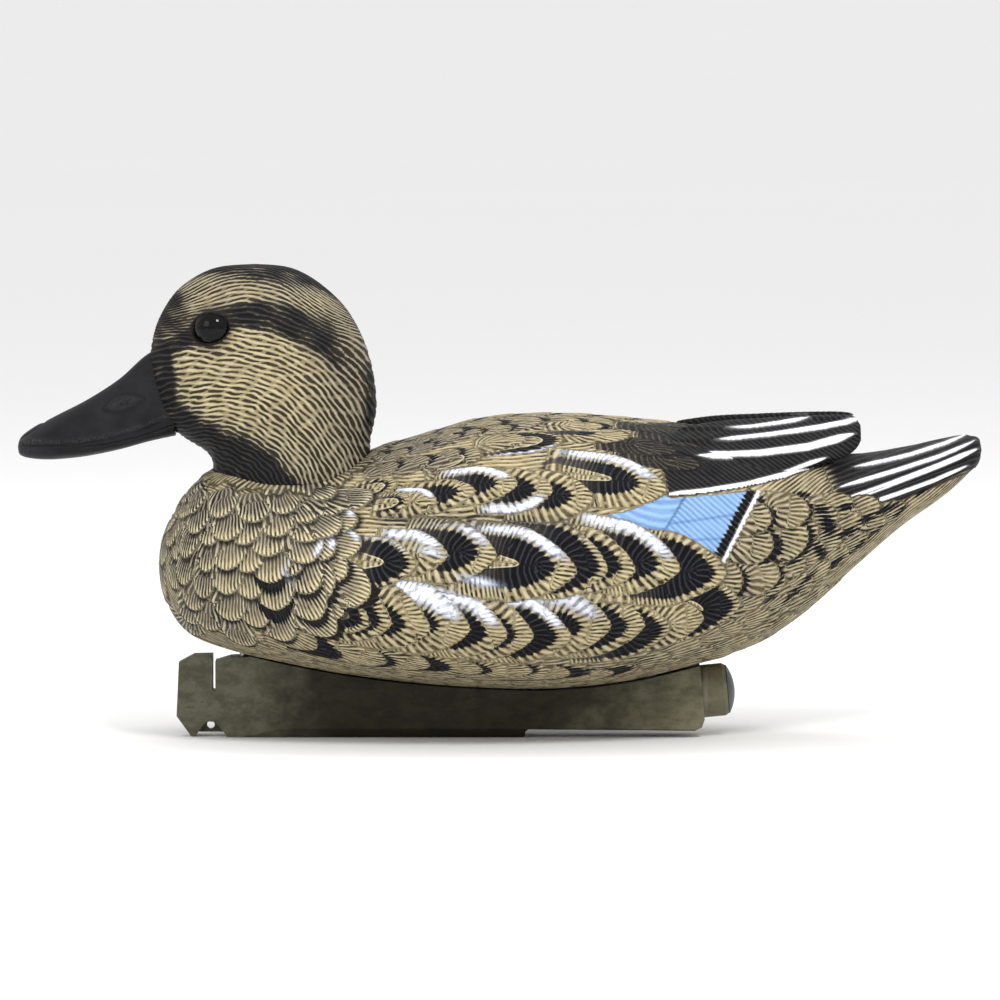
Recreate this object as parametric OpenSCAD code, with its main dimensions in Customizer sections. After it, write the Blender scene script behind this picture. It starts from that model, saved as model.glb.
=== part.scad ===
// Floating duck decoy on a weighted keel, with a turning head and a ripple drive inside the keel.
// Millimetres. +Z is up, the bill points along -X, and the keel stands on Z = 0 with the decoy's
// overall length centred on X = 0.

/* [Shell] */
// Wall of the hollow body and head mouldings
wall = 2.6; // [1.6:0.2:4]
// Rings along each moulded surface between two stations
ring_steps = 2; // [1:1:3]
// Points round each ring of a moulded surface
ring_sides = 32; // [20:4:40]

/* [Neck joint] */
// Centre of the head's turning axis along the body
neck_x = -90.6; // [-92:0.2:-89]
// Radius of the neck where it enters the body
neck_r = 34.6; // [33:0.2:35]
// Gap between the neck and its recess in the body
neck_gap = 0.4; // [0.2:0.1:0.8]
// Height of the recess floor
pan_z = 92; // [88:0.5:96]
// Radius of the snap stud under the head
stud_r = 6; // [5:0.5:7]

/* [Eyes] */
// Radius of each glass eye
eye_r = 8; // [6:0.25:8.5]
// Height of the eyes above the keel's base
eye_z = 178.8; // [176:0.2:181]

/* [Keel] */
// Half of the keel's greatest width
keel_half_w = 12.5; // [12:0.5:14]
// Front end of the keel
keel_front = -141; // [-142:0.5:-139]
// Rear end of the keel's box, where the round neck begins
keel_rear = 89; // [88:0.5:90]
// Depth of the step in the keel's base behind the ballast
keel_step = 3.6; // [2:0.2:4]
// Radius of the line hole in the keel's nose
line_hole_r = 1.7; // [1.4:0.1:1.8]

/* [Drive tube] */
// Outer radius of the round neck at the keel's rear
tube_r = 11.5; // [11:0.1:11.8]
// Rise of the tube towards the rear, in degrees
tube_tilt = 5.3; // [5:0.1:5.5]
// Rim of the tube along X
rim_x = 98.9; // [98:0.1:99.5]
// Height of the tube's centre at its rim
rim_z = 20.2; // [19.9:0.1:20.4]
// Radius of the bore that takes the end plug
plug_bore_r = 9; // [8.6:0.1:9.2]
// Running gap between the plug's shank and its bore
plug_gap = 0.1; // [0.05:0.01:0.2]
// Radius of each battery cell
cell_r = 5.25; // [5:0.05:5.4]
// Length of each battery cell
cell_len = 44.5; // [43:0.5:44.5]

/* [Hidden] */
$fn = 72;

plumage = [0.60, 0.53, 0.38];
bill_black = [0.10, 0.10, 0.11];
keel_olive = [0.32, 0.31, 0.25];

// ---- Station tables: points on the moulded surfaces at places along them ----

// Body, from breast to tail: x, underside z, height of the widest place, top z, half width,
// roundness of the upper and of the lower half of the section
BODY = [
    [-149.0, 75.0, 75.0, 75.0, 0.0, 2.0, 2.0],
    [-147.6, 63.5, 75.5, 86.0, 21.0, 2.0, 2.0],
    [-143.4, 52.8, 75.5, 98.0, 37.0, 1.9, 2.0],
    [-134.0, 43.6, 75.0, 111.5, 52.0, 1.8, 2.1],
    [-118.0, 37.6, 73.0, 122.0, 64.0, 1.7, 2.2],
    [-96.0, 32.6, 70.0, 124.5, 73.0, 1.6, 2.3],
    [-68.0, 27.4, 68.0, 124.5, 79.0, 1.6, 2.4],
    [-38.0, 23.6, 68.0, 131.8, 82.5, 1.8, 2.4],
    [-8.0, 21.4, 69.0, 140.0, 84.0, 2.0, 2.4],
    [24.0, 21.0, 72.0, 142.0, 82.0, 2.1, 2.4],
    [56.0, 24.3, 77.0, 140.0, 76.0, 2.2, 2.3],
    [86.0, 31.2, 84.0, 136.5, 66.5, 2.2, 2.2],
    [112.0, 38.6, 91.0, 131.0, 55.0, 2.2, 2.1],
    [134.0, 53.0, 98.0, 126.0, 45.5, 2.2, 2.1],
    [155.0, 72.0, 104.0, 124.4, 38.5, 2.2, 2.1],
    [175.0, 89.6, 111.0, 127.0, 33.5, 2.3, 2.1],
    [192.0, 101.8, 117.0, 130.6, 27.0, 2.3, 2.1],
    [203.0, 111.2, 121.0, 132.4, 18.5, 2.2, 2.1],
    [208.6, 118.6, 123.6, 130.2, 9.0, 2.0, 2.0],
    [210.0, 124.6, 124.6, 124.6, 0.0, 2.0, 2.0]
];

// Head, from crown to neck: z, front x, x of the widest place, back x, half width
HEAD = [
    [206.0, -106.5, -106.5, -106.5, 0.0],
    [204.9, -121.0, -106.0, -93.5, 9.5],
    [201.6, -130.5, -103.0, -84.5, 15.2],
    [195.4, -139.6, -99.0, -75.5, 21.0],
    [187.4, -145.8, -96.0, -67.4, 25.4],
    [178.0, -150.2, -94.5, -61.4, 28.2],
    [167.0, -152.4, -93.5, -56.9, 30.4],
    [155.0, -152.9, -93.0, -54.3, 31.8],
    [144.0, -151.0, -92.5, -53.4, 32.4],
    [136.0, -145.6, -92.0, -54.6, 32.4],
    [129.6, -137.0, -91.4, -56.0, 32.8],
    [124.0, -128.2, -90.9, -56.2, 33.9],
    [119.0, neck_x - neck_r - 0.1, neck_x, neck_x + neck_r + 0.1, neck_r + 0.1],
    [113.0, neck_x - neck_r + 1.2, neck_x, neck_x + neck_r - 1.2, neck_r - 1.2]
];

// Bill, from tip to root: x, underside z, height of the edge, top z, half width
BILL = [
    [-210.0, 126.0, 126.0, 126.0, 0.0],
    [-208.8, 122.4, 126.0, 130.0, 6.6],
    [-204.0, 120.8, 126.0, 134.0, 11.0],
    [-194.0, 120.4, 127.0, 139.6, 13.8],
    [-180.0, 121.8, 128.4, 146.8, 13.6],
    [-166.0, 124.6, 131.0, 155.8, 12.8],
    [-152.0, 128.4, 136.0, 167.6, 13.2],
    [-138.0, 131.4, 140.0, 170.0, 14.0]
];

// Folded wing tip: x, centre y, centre z, half breadth, half thickness
WING = [
    [52.0, 40.0, 118.0, 10.0, 4.0],
    [70.0, 36.0, 121.5, 15.5, 5.4],
    [92.0, 31.0, 125.0, 17.2, 6.0],
    [114.0, 25.5, 127.4, 16.0, 5.8],
    [134.0, 20.5, 129.8, 13.6, 5.2],
    [148.0, 17.0, 132.0, 11.0, 4.4],
    [154.0, 15.4, 133.2, 8.0, 3.2],
    [156.4, 14.8, 133.8, 3.0, 1.4]
];
wing_slope = 46; // fall of the wing's breadth away from the back, in degrees

// ---- Curves through the tables ----

function curve(a, b, c, d, u) =
    0.5 * (2 * b + (c - a) * u + (2 * a - 5 * b + 4 * c - d) * u * u + (3 * b - a - 3 * c + d) * u * u * u);

// The table's row at place t, counted in rows, on a smooth curve through its rows
function station(table, t) =
    let(last = len(table) - 1, i = min(floor(t), last - 1))
    curve(table[max(i - 1, 0)], table[i], table[i + 1], table[min(i + 2, last)], t - i);

function power(v, e) = sign(v) * pow(abs(v), e);

function body_ring(s, inset = 0) = [
    for (k = [0 : ring_sides - 1])
        let(
            a = 360 * (k + 0.5) / ring_sides,
            e = sin(a) > 0 ? s[5] : s[6],
            reach = sin(a) > 0 ? s[3] - s[2] - inset : s[2] - s[1] - inset
        )
        [s[0], (s[4] - inset) * power(cos(a), 2 / e), s[2] + reach * power(sin(a), 2 / e)]
];

function head_ring(s, inset = 0) = [
    for (k = [0 : ring_sides - 1])
        let(a = 360 * (k + 0.5) / ring_sides, reach = cos(a) > 0 ? s[3] - s[2] : s[2] - s[1])
        [s[2] + (reach - inset) * cos(a), (s[4] - inset) * sin(a), s[0]]
];

function bill_ring(s) = [
    for (k = [0 : 23])
        let(a = 15 * (k + 0.5), e = sin(a) > 0 ? 1.8 : 2.6, reach = sin(a) > 0 ? s[3] - s[2] : s[2] - s[1])
        [s[0], s[4] * power(cos(a), 2 / e), s[2] + reach * power(sin(a), 2 / e)]
];

function wing_ring(s) = [
    for (k = [0 : 23])
        let(a = 15 * k, along = s[3] * cos(a), across = s[4] * sin(a))
        [
            s[0],
            s[1] + along * cos(wing_slope) + across * sin(wing_slope),
            s[2] - along * sin(wing_slope) + across * cos(wing_slope)
        ]
];

// Radius of the sphere whose cap has edge radius r and height h
function dome_r(r, h) = (r * r + h * h) / (2 * h);

function middle(ring) = [for (i = [0 : 2]) (min([for (p = ring) p[i]]) + max([for (p = ring) p[i]])) / 2];

// A closed solid through rings of points, with a point at each end. The rings' points turn
// right-handed about the direction in which the rings follow each other.
module loft(rings, first, last) {
    n = len(rings[0]);
    m = len(rings);
    tail = n * m + 1;
    polyhedron(
        points = concat([first], [for (r = rings) each r], [last]),
        faces = concat(
            [for (k = [0 : n - 1]) [0, 1 + k, 1 + (k + 1) % n]],
            [for (j = [0 : m - 2], k = [0 : n - 1])
                let(a = 1 + j * n + k, b = 1 + j * n + (k + 1) % n) each [[a, b + n, b], [a, a + n, b + n]]],
            [for (k = [0 : n - 1]) let(a = 1 + (m - 1) * n) [tail, a + (k + 1) % n, a + k]]
        )
    );
}

// ---- Body ----

module body_outer() {
    last = len(BODY) - 1;
    rings = [for (t = [1 / ring_steps : 1 / ring_steps : last - 1 / ring_steps + 0.01]) body_ring(station(BODY, t))];
    loft(rings, [BODY[0][0], 0, BODY[0][1]], [BODY[last][0], 0, BODY[last][1]]);
}

module body_hollow() {
    rings = [for (t = [2.4 : 1 : 14.4]) body_ring(station(BODY, t), wall)];
    loft(rings, middle(rings[0]), middle(rings[len(rings) - 1]));
}

module wing_tip(side) {
    rings = [for (t = [0 : 1 : len(WING) - 1]) wing_ring(station(WING, t))];
    mirror([0, side < 0 ? 1 : 0, 0]) loft(rings, middle(rings[0]), middle(rings[len(rings) - 1]));
}

// Height of the body's underside on its centre line
function belly(x) =
    let(i = [for (j = [3 : 12]) if (BODY[j][0] <= x && x < BODY[j + 1][0]) j][0],
        a = BODY[i - 1], b = BODY[i], c = BODY[i + 1], d = BODY[i + 2])
    curve(a[1], b[1], c[1], d[1], (x - b[0]) / (c[0] - b[0]));

// Keel fixings in the body's underside
screw_x = [-112, -49.5];
screw_r = 1.65;
screw_pilot_r = 1.7;
screw_bite = 12; // depth of thread in the body's boss
boss_r = 6;
boss_h = 18;
tongue_x = 74;
tongue_len = 10;
tongue_w = 3;
tongue_top = 34;

module body_shell() color(plumage)
    difference() {
        union() {
            difference() {
                body_outer();
                difference() {
                    body_hollow();
                    translate([neck_x, 0, pan_z - wall - 1]) cylinder(r = neck_r + neck_gap + wall, h = 60);
                    for (x = screw_x) translate([x, 0, 0]) cylinder(r = boss_r, h = belly(x) + boss_h);
                    translate([tongue_x, 0, 0]) cylinder(r = 9, h = 44);
                }
            }
            wing_tip(1);
            wing_tip(-1);
        }
        translate([neck_x, 0, pan_z]) cylinder(r = neck_r + neck_gap, h = 60);
        translate([neck_x, 0, pan_z - 20]) cylinder(r = stud_r + 0.1, h = 30);
        for (x = screw_x) translate([x, 0, 0]) cylinder(r = screw_pilot_r, h = belly(x) + screw_bite + 1);
        translate([tongue_x - tongue_len / 2 - 0.3, -tongue_w / 2 - 0.3, 0])
            cube([tongue_len + 0.6, tongue_w + 0.6, tongue_top + 1]);
    }

washer_h = 1.6;

module neck_washer() color("dimgray")
    translate([neck_x, 0, pan_z])
        difference() {
            cylinder(r = 24, h = washer_h);
            translate([0, 0, -1]) cylinder(r = stud_r + 0.4, h = washer_h + 2);
        }

// ---- Head ----

plug_h = 6; // thickness of the disc that closes the neck

eye_x = -125;
eye_y = 21.8;
eye_dome = 5; // height of the eye's dome above its seat
eye_turn = 18; // how far the eyes look forward of square to the side, in degrees

// Places its children on an eye's axis, with +Z pointing out of the head
module at_eye(side) translate([eye_x, side * eye_y, eye_z]) rotate([-90 * side, 0, 0]) rotate([0, -eye_turn, 0])
    children();

module head_outer() {
    last = len(HEAD) - 1;
    rings = [for (t = [last : -0.5 : 0.5]) head_ring(station(HEAD, t))];
    loft(rings, [neck_x, 0, HEAD[last][0]], [HEAD[0][1], 0, HEAD[0][0]]);
}

module head_hollow() {
    rings = [for (t = [len(HEAD) - 1 : -1 : 2]) head_ring(station(HEAD, t), wall + 0.6)];
    loft(rings, [neck_x, 0, HEAD[len(HEAD) - 1][0] - 1], middle(rings[len(rings) - 1]));
}

module bill() {
    last = len(BILL) - 1;
    rings = [for (t = [0.5 : 0.5 : last]) bill_ring(station(BILL, t))];
    loft(rings, [BILL[0][0], 0, BILL[0][1]], middle(rings[len(rings) - 1]));
}

neck_foot = pan_z + washer_h; // underside of the neck, resting on the washer

module head_shell() color(plumage)
    difference() {
        union() {
            head_outer();
            color(bill_black) bill();
            translate([neck_x, 0, neck_foot]) cylinder(r = neck_r, h = 118 - neck_foot);
        }
        head_hollow();
        translate([neck_x, 0, neck_foot - 1]) cylinder(r = neck_r - wall, h = 116 - neck_foot);
        for (side = [-1, 1]) at_eye(side) {
            cylinder(r = eye_r + 0.05, h = 20);
            translate([0, 0, -4]) cylinder(r = 2.6, h = 10);
        }
    }

module neck_plug() color("darkslategray")
    translate([neck_x, 0, neck_foot]) {
        difference() {
            cylinder(r = neck_r - wall - 0.05, h = plug_h);
            translate([0, 0, 2.4]) cylinder(r = neck_r - wall - 4, h = plug_h);
        }
        // Snap stud: a split barb that grips under the recess floor
        difference() {
            union() {
                translate([0, 0, -10.6]) cylinder(r = stud_r, h = 16);
                translate([0, 0, -10.6]) cylinder(r1 = stud_r - 0.6, r2 = stud_r + 1.4, h = 4.6);
            }
            translate([-1.25, -20, -20]) cube([2.5, 40, 18]);
            translate([0, 0, -20]) cylinder(r = 3, h = 40);
        }
    }

module eye(side) color("black")
    at_eye(side) {
        intersection() {
            translate([0, 0, eye_dome - dome_r(eye_r, eye_dome)]) sphere(r = dome_r(eye_r, eye_dome));
            cylinder(r = eye_r, h = 12);
        }
        translate([0, 0, -3.6]) cylinder(r = 2.5, h = 4.6);
    }

// ---- Keel ----

belly_gap = 0.3;
step_x = 11;
slot_w = 1.2;
slot_foot = 20.4;

module keel_side_outline()
    difference() {
        polygon(concat(
            [
                [keel_front + 1, 32], [keel_front + 7.6, 35.5], [-124.6, 35.5], [-124.6, 32.9], [-123.3, 32.9],
                [-117.5, 34.6]
            ],
            [for (x = [-108 : 9 : 81]) [x, belly(x) - belly_gap]],
            [
                [keel_rear - 2, belly(keel_rear - 2) - belly_gap], [keel_rear + 0.1, 7.9],
                [keel_rear - 1.1, 4.4], [keel_rear - 4.2, keel_step - 0.7],
                [step_x + 1.2, keel_step], [step_x, keel_step - 1.2], [step_x, 1], [step_x - 1, 0],
                [keel_front + 6.4, 0], [keel_front, 8.6]
            ]
        ));
        // Slot that holds the wrapped line
        translate([-124.6 - slot_w / 2, slot_foot]) square([slot_w, 20]);
        translate([-124.6, slot_foot]) circle(r = slot_w / 2);
    }

module keel_plan_outline()
    polygon([
        [keel_front, -4.5], [keel_front + 22, -8.5], [keel_front + 48, -keel_half_w], [60, -keel_half_w],
        [keel_rear + 1, -keel_half_w + 0.6], [keel_rear + 1, keel_half_w - 0.6], [60, keel_half_w],
        [keel_front + 48, keel_half_w], [keel_front + 22, 8.5], [keel_front, 4.5]
    ]);

module keel_section_outline()
    polygon([
        [-keel_half_w, 40], [-keel_half_w, 4], [-keel_half_w + 3, 0],
        [keel_half_w - 3, 0], [keel_half_w, 4], [keel_half_w, 40]
    ]);

module along_y(len) translate([0, len / 2, 0]) rotate([90, 0, 0]) linear_extrude(len) children();

module keel_block()
    intersection() {
        along_y(40) keel_side_outline();
        translate([0, 0, -1]) linear_extrude(50) keel_plan_outline();
        translate([keel_front - 5, 0, 0]) rotate([90, 0, 90]) linear_extrude(300) keel_section_outline();
    }

// Moves its children to the drive tube's axis: origin at the rim's centre, +Z out of the tube
module tube_axis() translate([rim_x, 0, rim_z]) rotate([0, 90 - tube_tilt, 0]) children();

shank_len = 12;
spring_len = 5;
cell_bore_r = cell_r + 0.35;
battery_start = shank_len + spring_len;
contact_plate = 0.8;
strip_w = 3;
strip_h = 0.4;
shoulder = shank_len + contact_plate + strip_h + 0.05;
contact_at = battery_start + 2 * cell_len;
motor_r = 4.25;
motor_len = 20;
motor_at = contact_at + 3;
weight_len = 5;
chamber_end = motor_at + motor_len + 11;

module drive_bore() tube_axis() {
    translate([0, 0, -shoulder]) cylinder(r = plug_bore_r, h = 30);
    translate([0, 0, -chamber_end]) cylinder(r = cell_bore_r, h = chamber_end - 10);
}

pocket_front = -105;
pocket_rear = -57;
pocket_floor = 3;
pocket_half_w = 8.5;
cover_h = 2;
cover_top = 22.6;
head_pocket_r = 4.2;
head_seat_z = 9;

// The nose's arch, cut from both sides up to a web on the centre plane that holds the line hole
line_x = -126.2;
line_z = 4.6;
web_w = 3;
web_foot = 1.6;

module line_arch() {
    difference() {
        along_y(40) polygon([
            [-133.2, -1], [-131.3, 2.1], [-129.2, 5.2], [-127.8, 6.5], [-124.6, 6.5],
            [-123.2, 5.2], [-120.3, 2.1], [-118.3, -1]
        ]);
        translate([line_x - 15, -web_w / 2, web_foot]) cube([30, web_w, 40]);
    }
    translate([line_x, 0, line_z]) rotate([90, 0, 0]) cylinder(r = line_hole_r, h = 40, center = true);
}

module keel_shell() color(keel_olive)
    difference() {
        union() {
            keel_block();
            tube_axis() translate([0, 0, -24]) cylinder(r = tube_r, h = 22.6);
            tube_axis() translate([0, 0, -1.4]) cylinder(r1 = tube_r, r2 = tube_r - 0.9, h = 1.4);
            translate([tongue_x - tongue_len / 2, -tongue_w / 2, 24]) cube([tongue_len, tongue_w, tongue_top - 24]);
        }
        drive_bore();
        line_arch();
        translate([pocket_front, -pocket_half_w, pocket_floor])
            cube([pocket_rear - pocket_front, 2 * pocket_half_w, 40]);
        for (x = screw_x) translate([x, 0, 0]) {
            translate([0, 0, -1]) cylinder(r = head_pocket_r, h = head_seat_z + 1);
            cylinder(r = 2.2, h = 50);
        }
        strip_slot();
    }

module ballast_bar() color("gray")
    translate([pocket_front + 0.5, -pocket_half_w + 0.5, pocket_floor])
        cube([pocket_rear - pocket_front - 1, 2 * pocket_half_w - 1, cover_top - cover_h - pocket_floor]);

module ballast_cover() color(keel_olive)
    translate([pocket_front + 0.1, -pocket_half_w + 0.1, cover_top - cover_h])
        cube([pocket_rear - pocket_front - 0.2, 2 * pocket_half_w - 0.2, cover_h]);

seal_h = 1;

module keel_screws() color("silver")
    for (x = screw_x) translate([x, 0, head_seat_z - seal_h]) {
        difference() {
            translate([0, 0, -2.6]) cylinder(r = 3.8, h = 2.6);
            translate([-0.5, -2.6, -3]) cube([1, 5.2, 1.6]);
            translate([-2.6, -0.5, -3]) cube([5.2, 1, 1.6]);
        }
        translate([0, 0, -0.5]) cylinder(r = screw_r, h = belly(x) + screw_bite - head_seat_z + seal_h + 0.5);
    }

module screw_seals() color("black")
    for (x = screw_x) translate([x, 0, head_seat_z - seal_h])
        difference() {
            cylinder(r = 3.9, h = seal_h);
            translate([0, 0, -1]) cylinder(r = screw_r + 0.05, h = 3);
        }

// ---- Drive, along the tube ----

module battery(from) color("goldenrod")
    tube_axis() translate([0, 0, -from - cell_len]) {
        translate([0, 0, 0]) cylinder(r = 1.9, h = 1);
        translate([0, 0, 0.9]) cylinder(r = cell_r, h = cell_len - 0.9);
    }

module front_contact() color("gold")
    tube_axis() translate([0, 0, -contact_at - 0.9]) {
        cylinder(r = cell_r, h = 0.5);
        cylinder(r = 1.6, h = 0.9);
    }

// Brass strip along the top of the bore, from the motor back to the plug's contact
strip_out = cell_bore_r + 0.05;
strip_end = motor_at;

module strip_slot() tube_axis()
    translate([-strip_out - strip_h - 0.1, -strip_w / 2 - 0.1, -strip_end - 0.5])
        cube([strip_h + 1, strip_w + 0.2, strip_end - shoulder + 1]);

module return_strip() color("gold")
    tube_axis() {
        translate([-strip_out - strip_h, -strip_w / 2, -strip_end])
            cube([strip_h, strip_w, strip_end - shoulder + strip_h]);
        translate([-8.2, -strip_w / 2, -shoulder]) cube([8.2 - strip_out, strip_w, strip_h]);
    }

module motor_cradle() color("darkslategray")
    tube_axis() translate([0, 0, -motor_at - motor_len])
        difference() {
            cylinder(r = cell_bore_r - 0.05, h = motor_len);
            translate([0, 0, -1]) cylinder(r = motor_r + 0.02, h = motor_len + 2);
            translate([-10, -1.2, -1]) cube([10, 2.4, motor_len + 2]);
        }

module motor_can() color("silver")
    tube_axis() translate([0, 0, -motor_at - motor_len]) {
        difference() {
            cylinder(r = motor_r, h = motor_len);
            translate([0, 0, -1]) cylinder(r = 1.05, h = 12);
        }
        difference() {
            translate([0, 0, -0.8]) cylinder(r = 2.4, h = 0.81);
            translate([0, 0, -2]) cylinder(r = 1.05, h = 12);
        }
    }

module motor_leads() color("firebrick")
    tube_axis() {
        translate([2.2, 0, -motor_at]) cylinder(r = 0.6, h = motor_at - contact_at - 0.9);
        translate([-strip_out, -0.6, -motor_at]) cube([strip_out - 1.8, 1.2, 1]);
    }

module rotor_shaft() color("silver")
    tube_axis() translate([0, 0, -motor_at - motor_len - 8.2]) cylinder(r = 1, h = 8 + 10.6);

module eccentric_weight() color("gray")
    tube_axis() translate([0, 0, -motor_at - motor_len - 8.4])
        difference() {
            union() {
                cylinder(r = 2.4, h = weight_len);
                intersection() {
                    cylinder(r = motor_r, h = weight_len);
                    translate([0, -10, -1]) cube([10, 20, weight_len + 2]);
                }
            }
            translate([0, 0, -1]) cylinder(r = 1.0, h = weight_len + 2);
        }

// ---- End plug ----

plug_head_r = 10.6;
plug_head_h = 3.5;
seal_at = 4;
seal_r = 0.9;

module end_plug() color("black")
    tube_axis() difference() {
        union() {
            intersection() {
                cylinder(r = plug_head_r, h = plug_head_h);
                translate([0, 0, plug_head_h - 20]) sphere(r = 20);
            }
            translate([0, 0, -shank_len]) cylinder(r = plug_bore_r - plug_gap, h = shank_len + 0.5);
        }
        // Groove for the sealing ring
        translate([0, 0, -seal_at - seal_r])
            difference() {
                cylinder(r = plug_bore_r + 1, h = 2 * seal_r);
                translate([0, 0, -1]) cylinder(r = plug_bore_r - plug_gap - 2 * seal_r + 0.1, h = 4);
            }
        // Coin slot
        translate([-7, -1.1, plug_head_h - 1.8]) cube([14, 2.2, 5]);
        // Hole for the contact's rivet
        translate([0, 0, -shank_len - 1]) cylinder(r = 1.5, h = 6);
    }

module plug_seal() color("black")
    tube_axis() translate([0, 0, -seal_at])
        rotate_extrude() translate([plug_bore_r - 0.05 - seal_r + 0.02, 0]) circle(r = seal_r - 0.05, $fn = 24);

module plug_contact() color("gold")
    tube_axis() translate([0, 0, -shank_len - contact_plate]) {
        cylinder(r = 8.4, h = contact_plate);
        cylinder(r = 1.45, h = contact_plate + 4.8);
    }

spring_wire = 0.35;
spring_turns = 3;

module contact_spring() color("silver") {
    bottom = -battery_start + spring_wire + 0.05;
    top = -shank_len - contact_plate - spring_wire - 0.05;
    steps = 12;
    path = [for (i = [0 : spring_turns * steps])
        let(u = i / (spring_turns * steps), a = 360 * i / steps, r = 2.6 + 2 * u)
        [r * cos(a), r * sin(a), bottom + (top - bottom) * u]];
    tube_axis() sweep_wire(path, spring_wire, 6);
}

// A round wire along a helix-like path about the Z axis
module sweep_wire(path, r, sides) {
    rings = [for (p = path)
        let(d = norm([p[0], p[1]]))
        [for (k = [0 : sides - 1])
            let(a = -360 * k / sides) [p[0] * (1 + r * cos(a) / d), p[1] * (1 + r * cos(a) / d), p[2] + r * sin(a)]]];
    loft(rings, path[0], path[len(path) - 1]);
}

body_shell();
neck_washer();
head_shell();
neck_plug();
eye(-1);  // eye_left
eye(1);  // eye_right
keel_shell();
ballast_bar();
ballast_cover();
keel_screws();
screw_seals();
battery(battery_start + cell_len);  // battery_front
battery(battery_start);  // battery_rear
front_contact();
return_strip();
motor_cradle();
motor_can();
motor_leads();
rotor_shaft();
eccentric_weight();
plug_seal();
end_plug();
plug_contact();
contact_spring();
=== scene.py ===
"""Looks of the floating duck decoy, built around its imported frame.

The body, wings, head and bill are fine grids lofted from the same station tables as the CAD solids. Feathers are
laid on them one over another, from tail to head, each with its own relief, bands and barbs.
Lengths in the tables are millimetres; meshes are made in metres.
"""

import math

import bpy
import numpy as np
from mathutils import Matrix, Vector


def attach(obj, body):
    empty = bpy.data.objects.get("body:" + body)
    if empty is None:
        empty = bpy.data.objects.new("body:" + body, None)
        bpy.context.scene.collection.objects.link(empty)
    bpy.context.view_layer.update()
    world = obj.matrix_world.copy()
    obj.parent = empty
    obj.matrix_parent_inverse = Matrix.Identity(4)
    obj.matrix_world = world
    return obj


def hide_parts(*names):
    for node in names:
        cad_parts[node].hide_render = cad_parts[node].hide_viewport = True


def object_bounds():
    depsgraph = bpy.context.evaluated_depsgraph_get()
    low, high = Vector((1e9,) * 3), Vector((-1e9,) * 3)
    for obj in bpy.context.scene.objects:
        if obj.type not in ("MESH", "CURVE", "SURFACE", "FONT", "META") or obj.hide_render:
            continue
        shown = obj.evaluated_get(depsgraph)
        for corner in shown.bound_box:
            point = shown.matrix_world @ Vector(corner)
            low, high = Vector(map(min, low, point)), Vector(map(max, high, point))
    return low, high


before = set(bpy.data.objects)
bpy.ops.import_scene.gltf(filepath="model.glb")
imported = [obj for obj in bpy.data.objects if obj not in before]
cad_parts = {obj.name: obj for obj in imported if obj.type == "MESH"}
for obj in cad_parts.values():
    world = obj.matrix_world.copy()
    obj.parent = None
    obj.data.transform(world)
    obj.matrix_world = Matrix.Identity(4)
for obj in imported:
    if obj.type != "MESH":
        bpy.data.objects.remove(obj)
cad_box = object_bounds()
MM = 0.001
rng = np.random.default_rng(11)

# ---- Station tables, the same as the CAD's ----

# Body: x, underside z, height of the widest place, top z, half width, upper and lower roundness
BODY = [
    [-149, 75, 75, 75, 0, 2, 2],
    [-147.6, 63.5, 75.5, 86, 21, 2, 2],
    [-143.4, 52.8, 75.5, 98, 37, 1.9, 2],
    [-134, 43.6, 75, 111.5, 52, 1.8, 2.1],
    [-118, 37.6, 73, 122, 64, 1.7, 2.2],
    [-96, 32.6, 70, 124.5, 73, 1.6, 2.3],
    [-68, 27.4, 68, 124.5, 79, 1.6, 2.4],
    [-38, 23.6, 68, 131.8, 82.5, 1.8, 2.4],
    [-8, 21.4, 69, 140, 84, 2, 2.4],
    [24, 21, 72, 142, 82, 2.1, 2.4],
    [56, 24.3, 77, 140, 76, 2.2, 2.3],
    [86, 31.2, 84, 136.5, 66.5, 2.2, 2.2],
    [112, 38.6, 91, 131, 55, 2.2, 2.1],
    [134, 53, 98, 126, 45.5, 2.2, 2.1],
    [155, 72, 104, 124.4, 38.5, 2.2, 2.1],
    [175, 89.6, 111, 127, 33.5, 2.3, 2.1],
    [192, 101.8, 117, 130.6, 27, 2.3, 2.1],
    [203, 111.2, 121, 132.4, 18.5, 2.2, 2.1],
    [208.6, 118.6, 123.6, 130.2, 9, 2, 2],
    [210, 124.6, 124.6, 124.6, 0, 2, 2],
]
NECK_X, NECK_R, RECESS_R, RECESS_Z, NECK_FOOT = -90.6, 34.6, 35.0, 92.1, 93.6
# Head: z, front x, x of the widest place, back x, half width
HEAD = [
    [206, -106.5, -106.5, -106.5, 0],
    [204.9, -121, -106, -93.5, 9.5],
    [201.6, -130.5, -103, -84.5, 15.2],
    [195.4, -139.6, -99, -75.5, 21],
    [187.4, -145.8, -96, -67.4, 25.4],
    [178, -150.2, -94.5, -61.4, 28.2],
    [167, -152.4, -93.5, -56.9, 30.4],
    [155, -152.9, -93, -54.3, 31.8],
    [144, -151, -92.5, -53.4, 32.4],
    [136, -145.6, -92, -54.6, 32.4],
    [129.6, -137, -91.4, -56, 32.8],
    [124, -128.2, -90.9, -56.2, 33.9],
    [119, NECK_X - NECK_R, NECK_X, NECK_X + NECK_R, NECK_R],
    [113, NECK_X - NECK_R, NECK_X, NECK_X + NECK_R, NECK_R],
    [104, NECK_X - NECK_R, NECK_X, NECK_X + NECK_R, NECK_R],
    [94.6, NECK_X - NECK_R, NECK_X, NECK_X + NECK_R, NECK_R],
]
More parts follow.
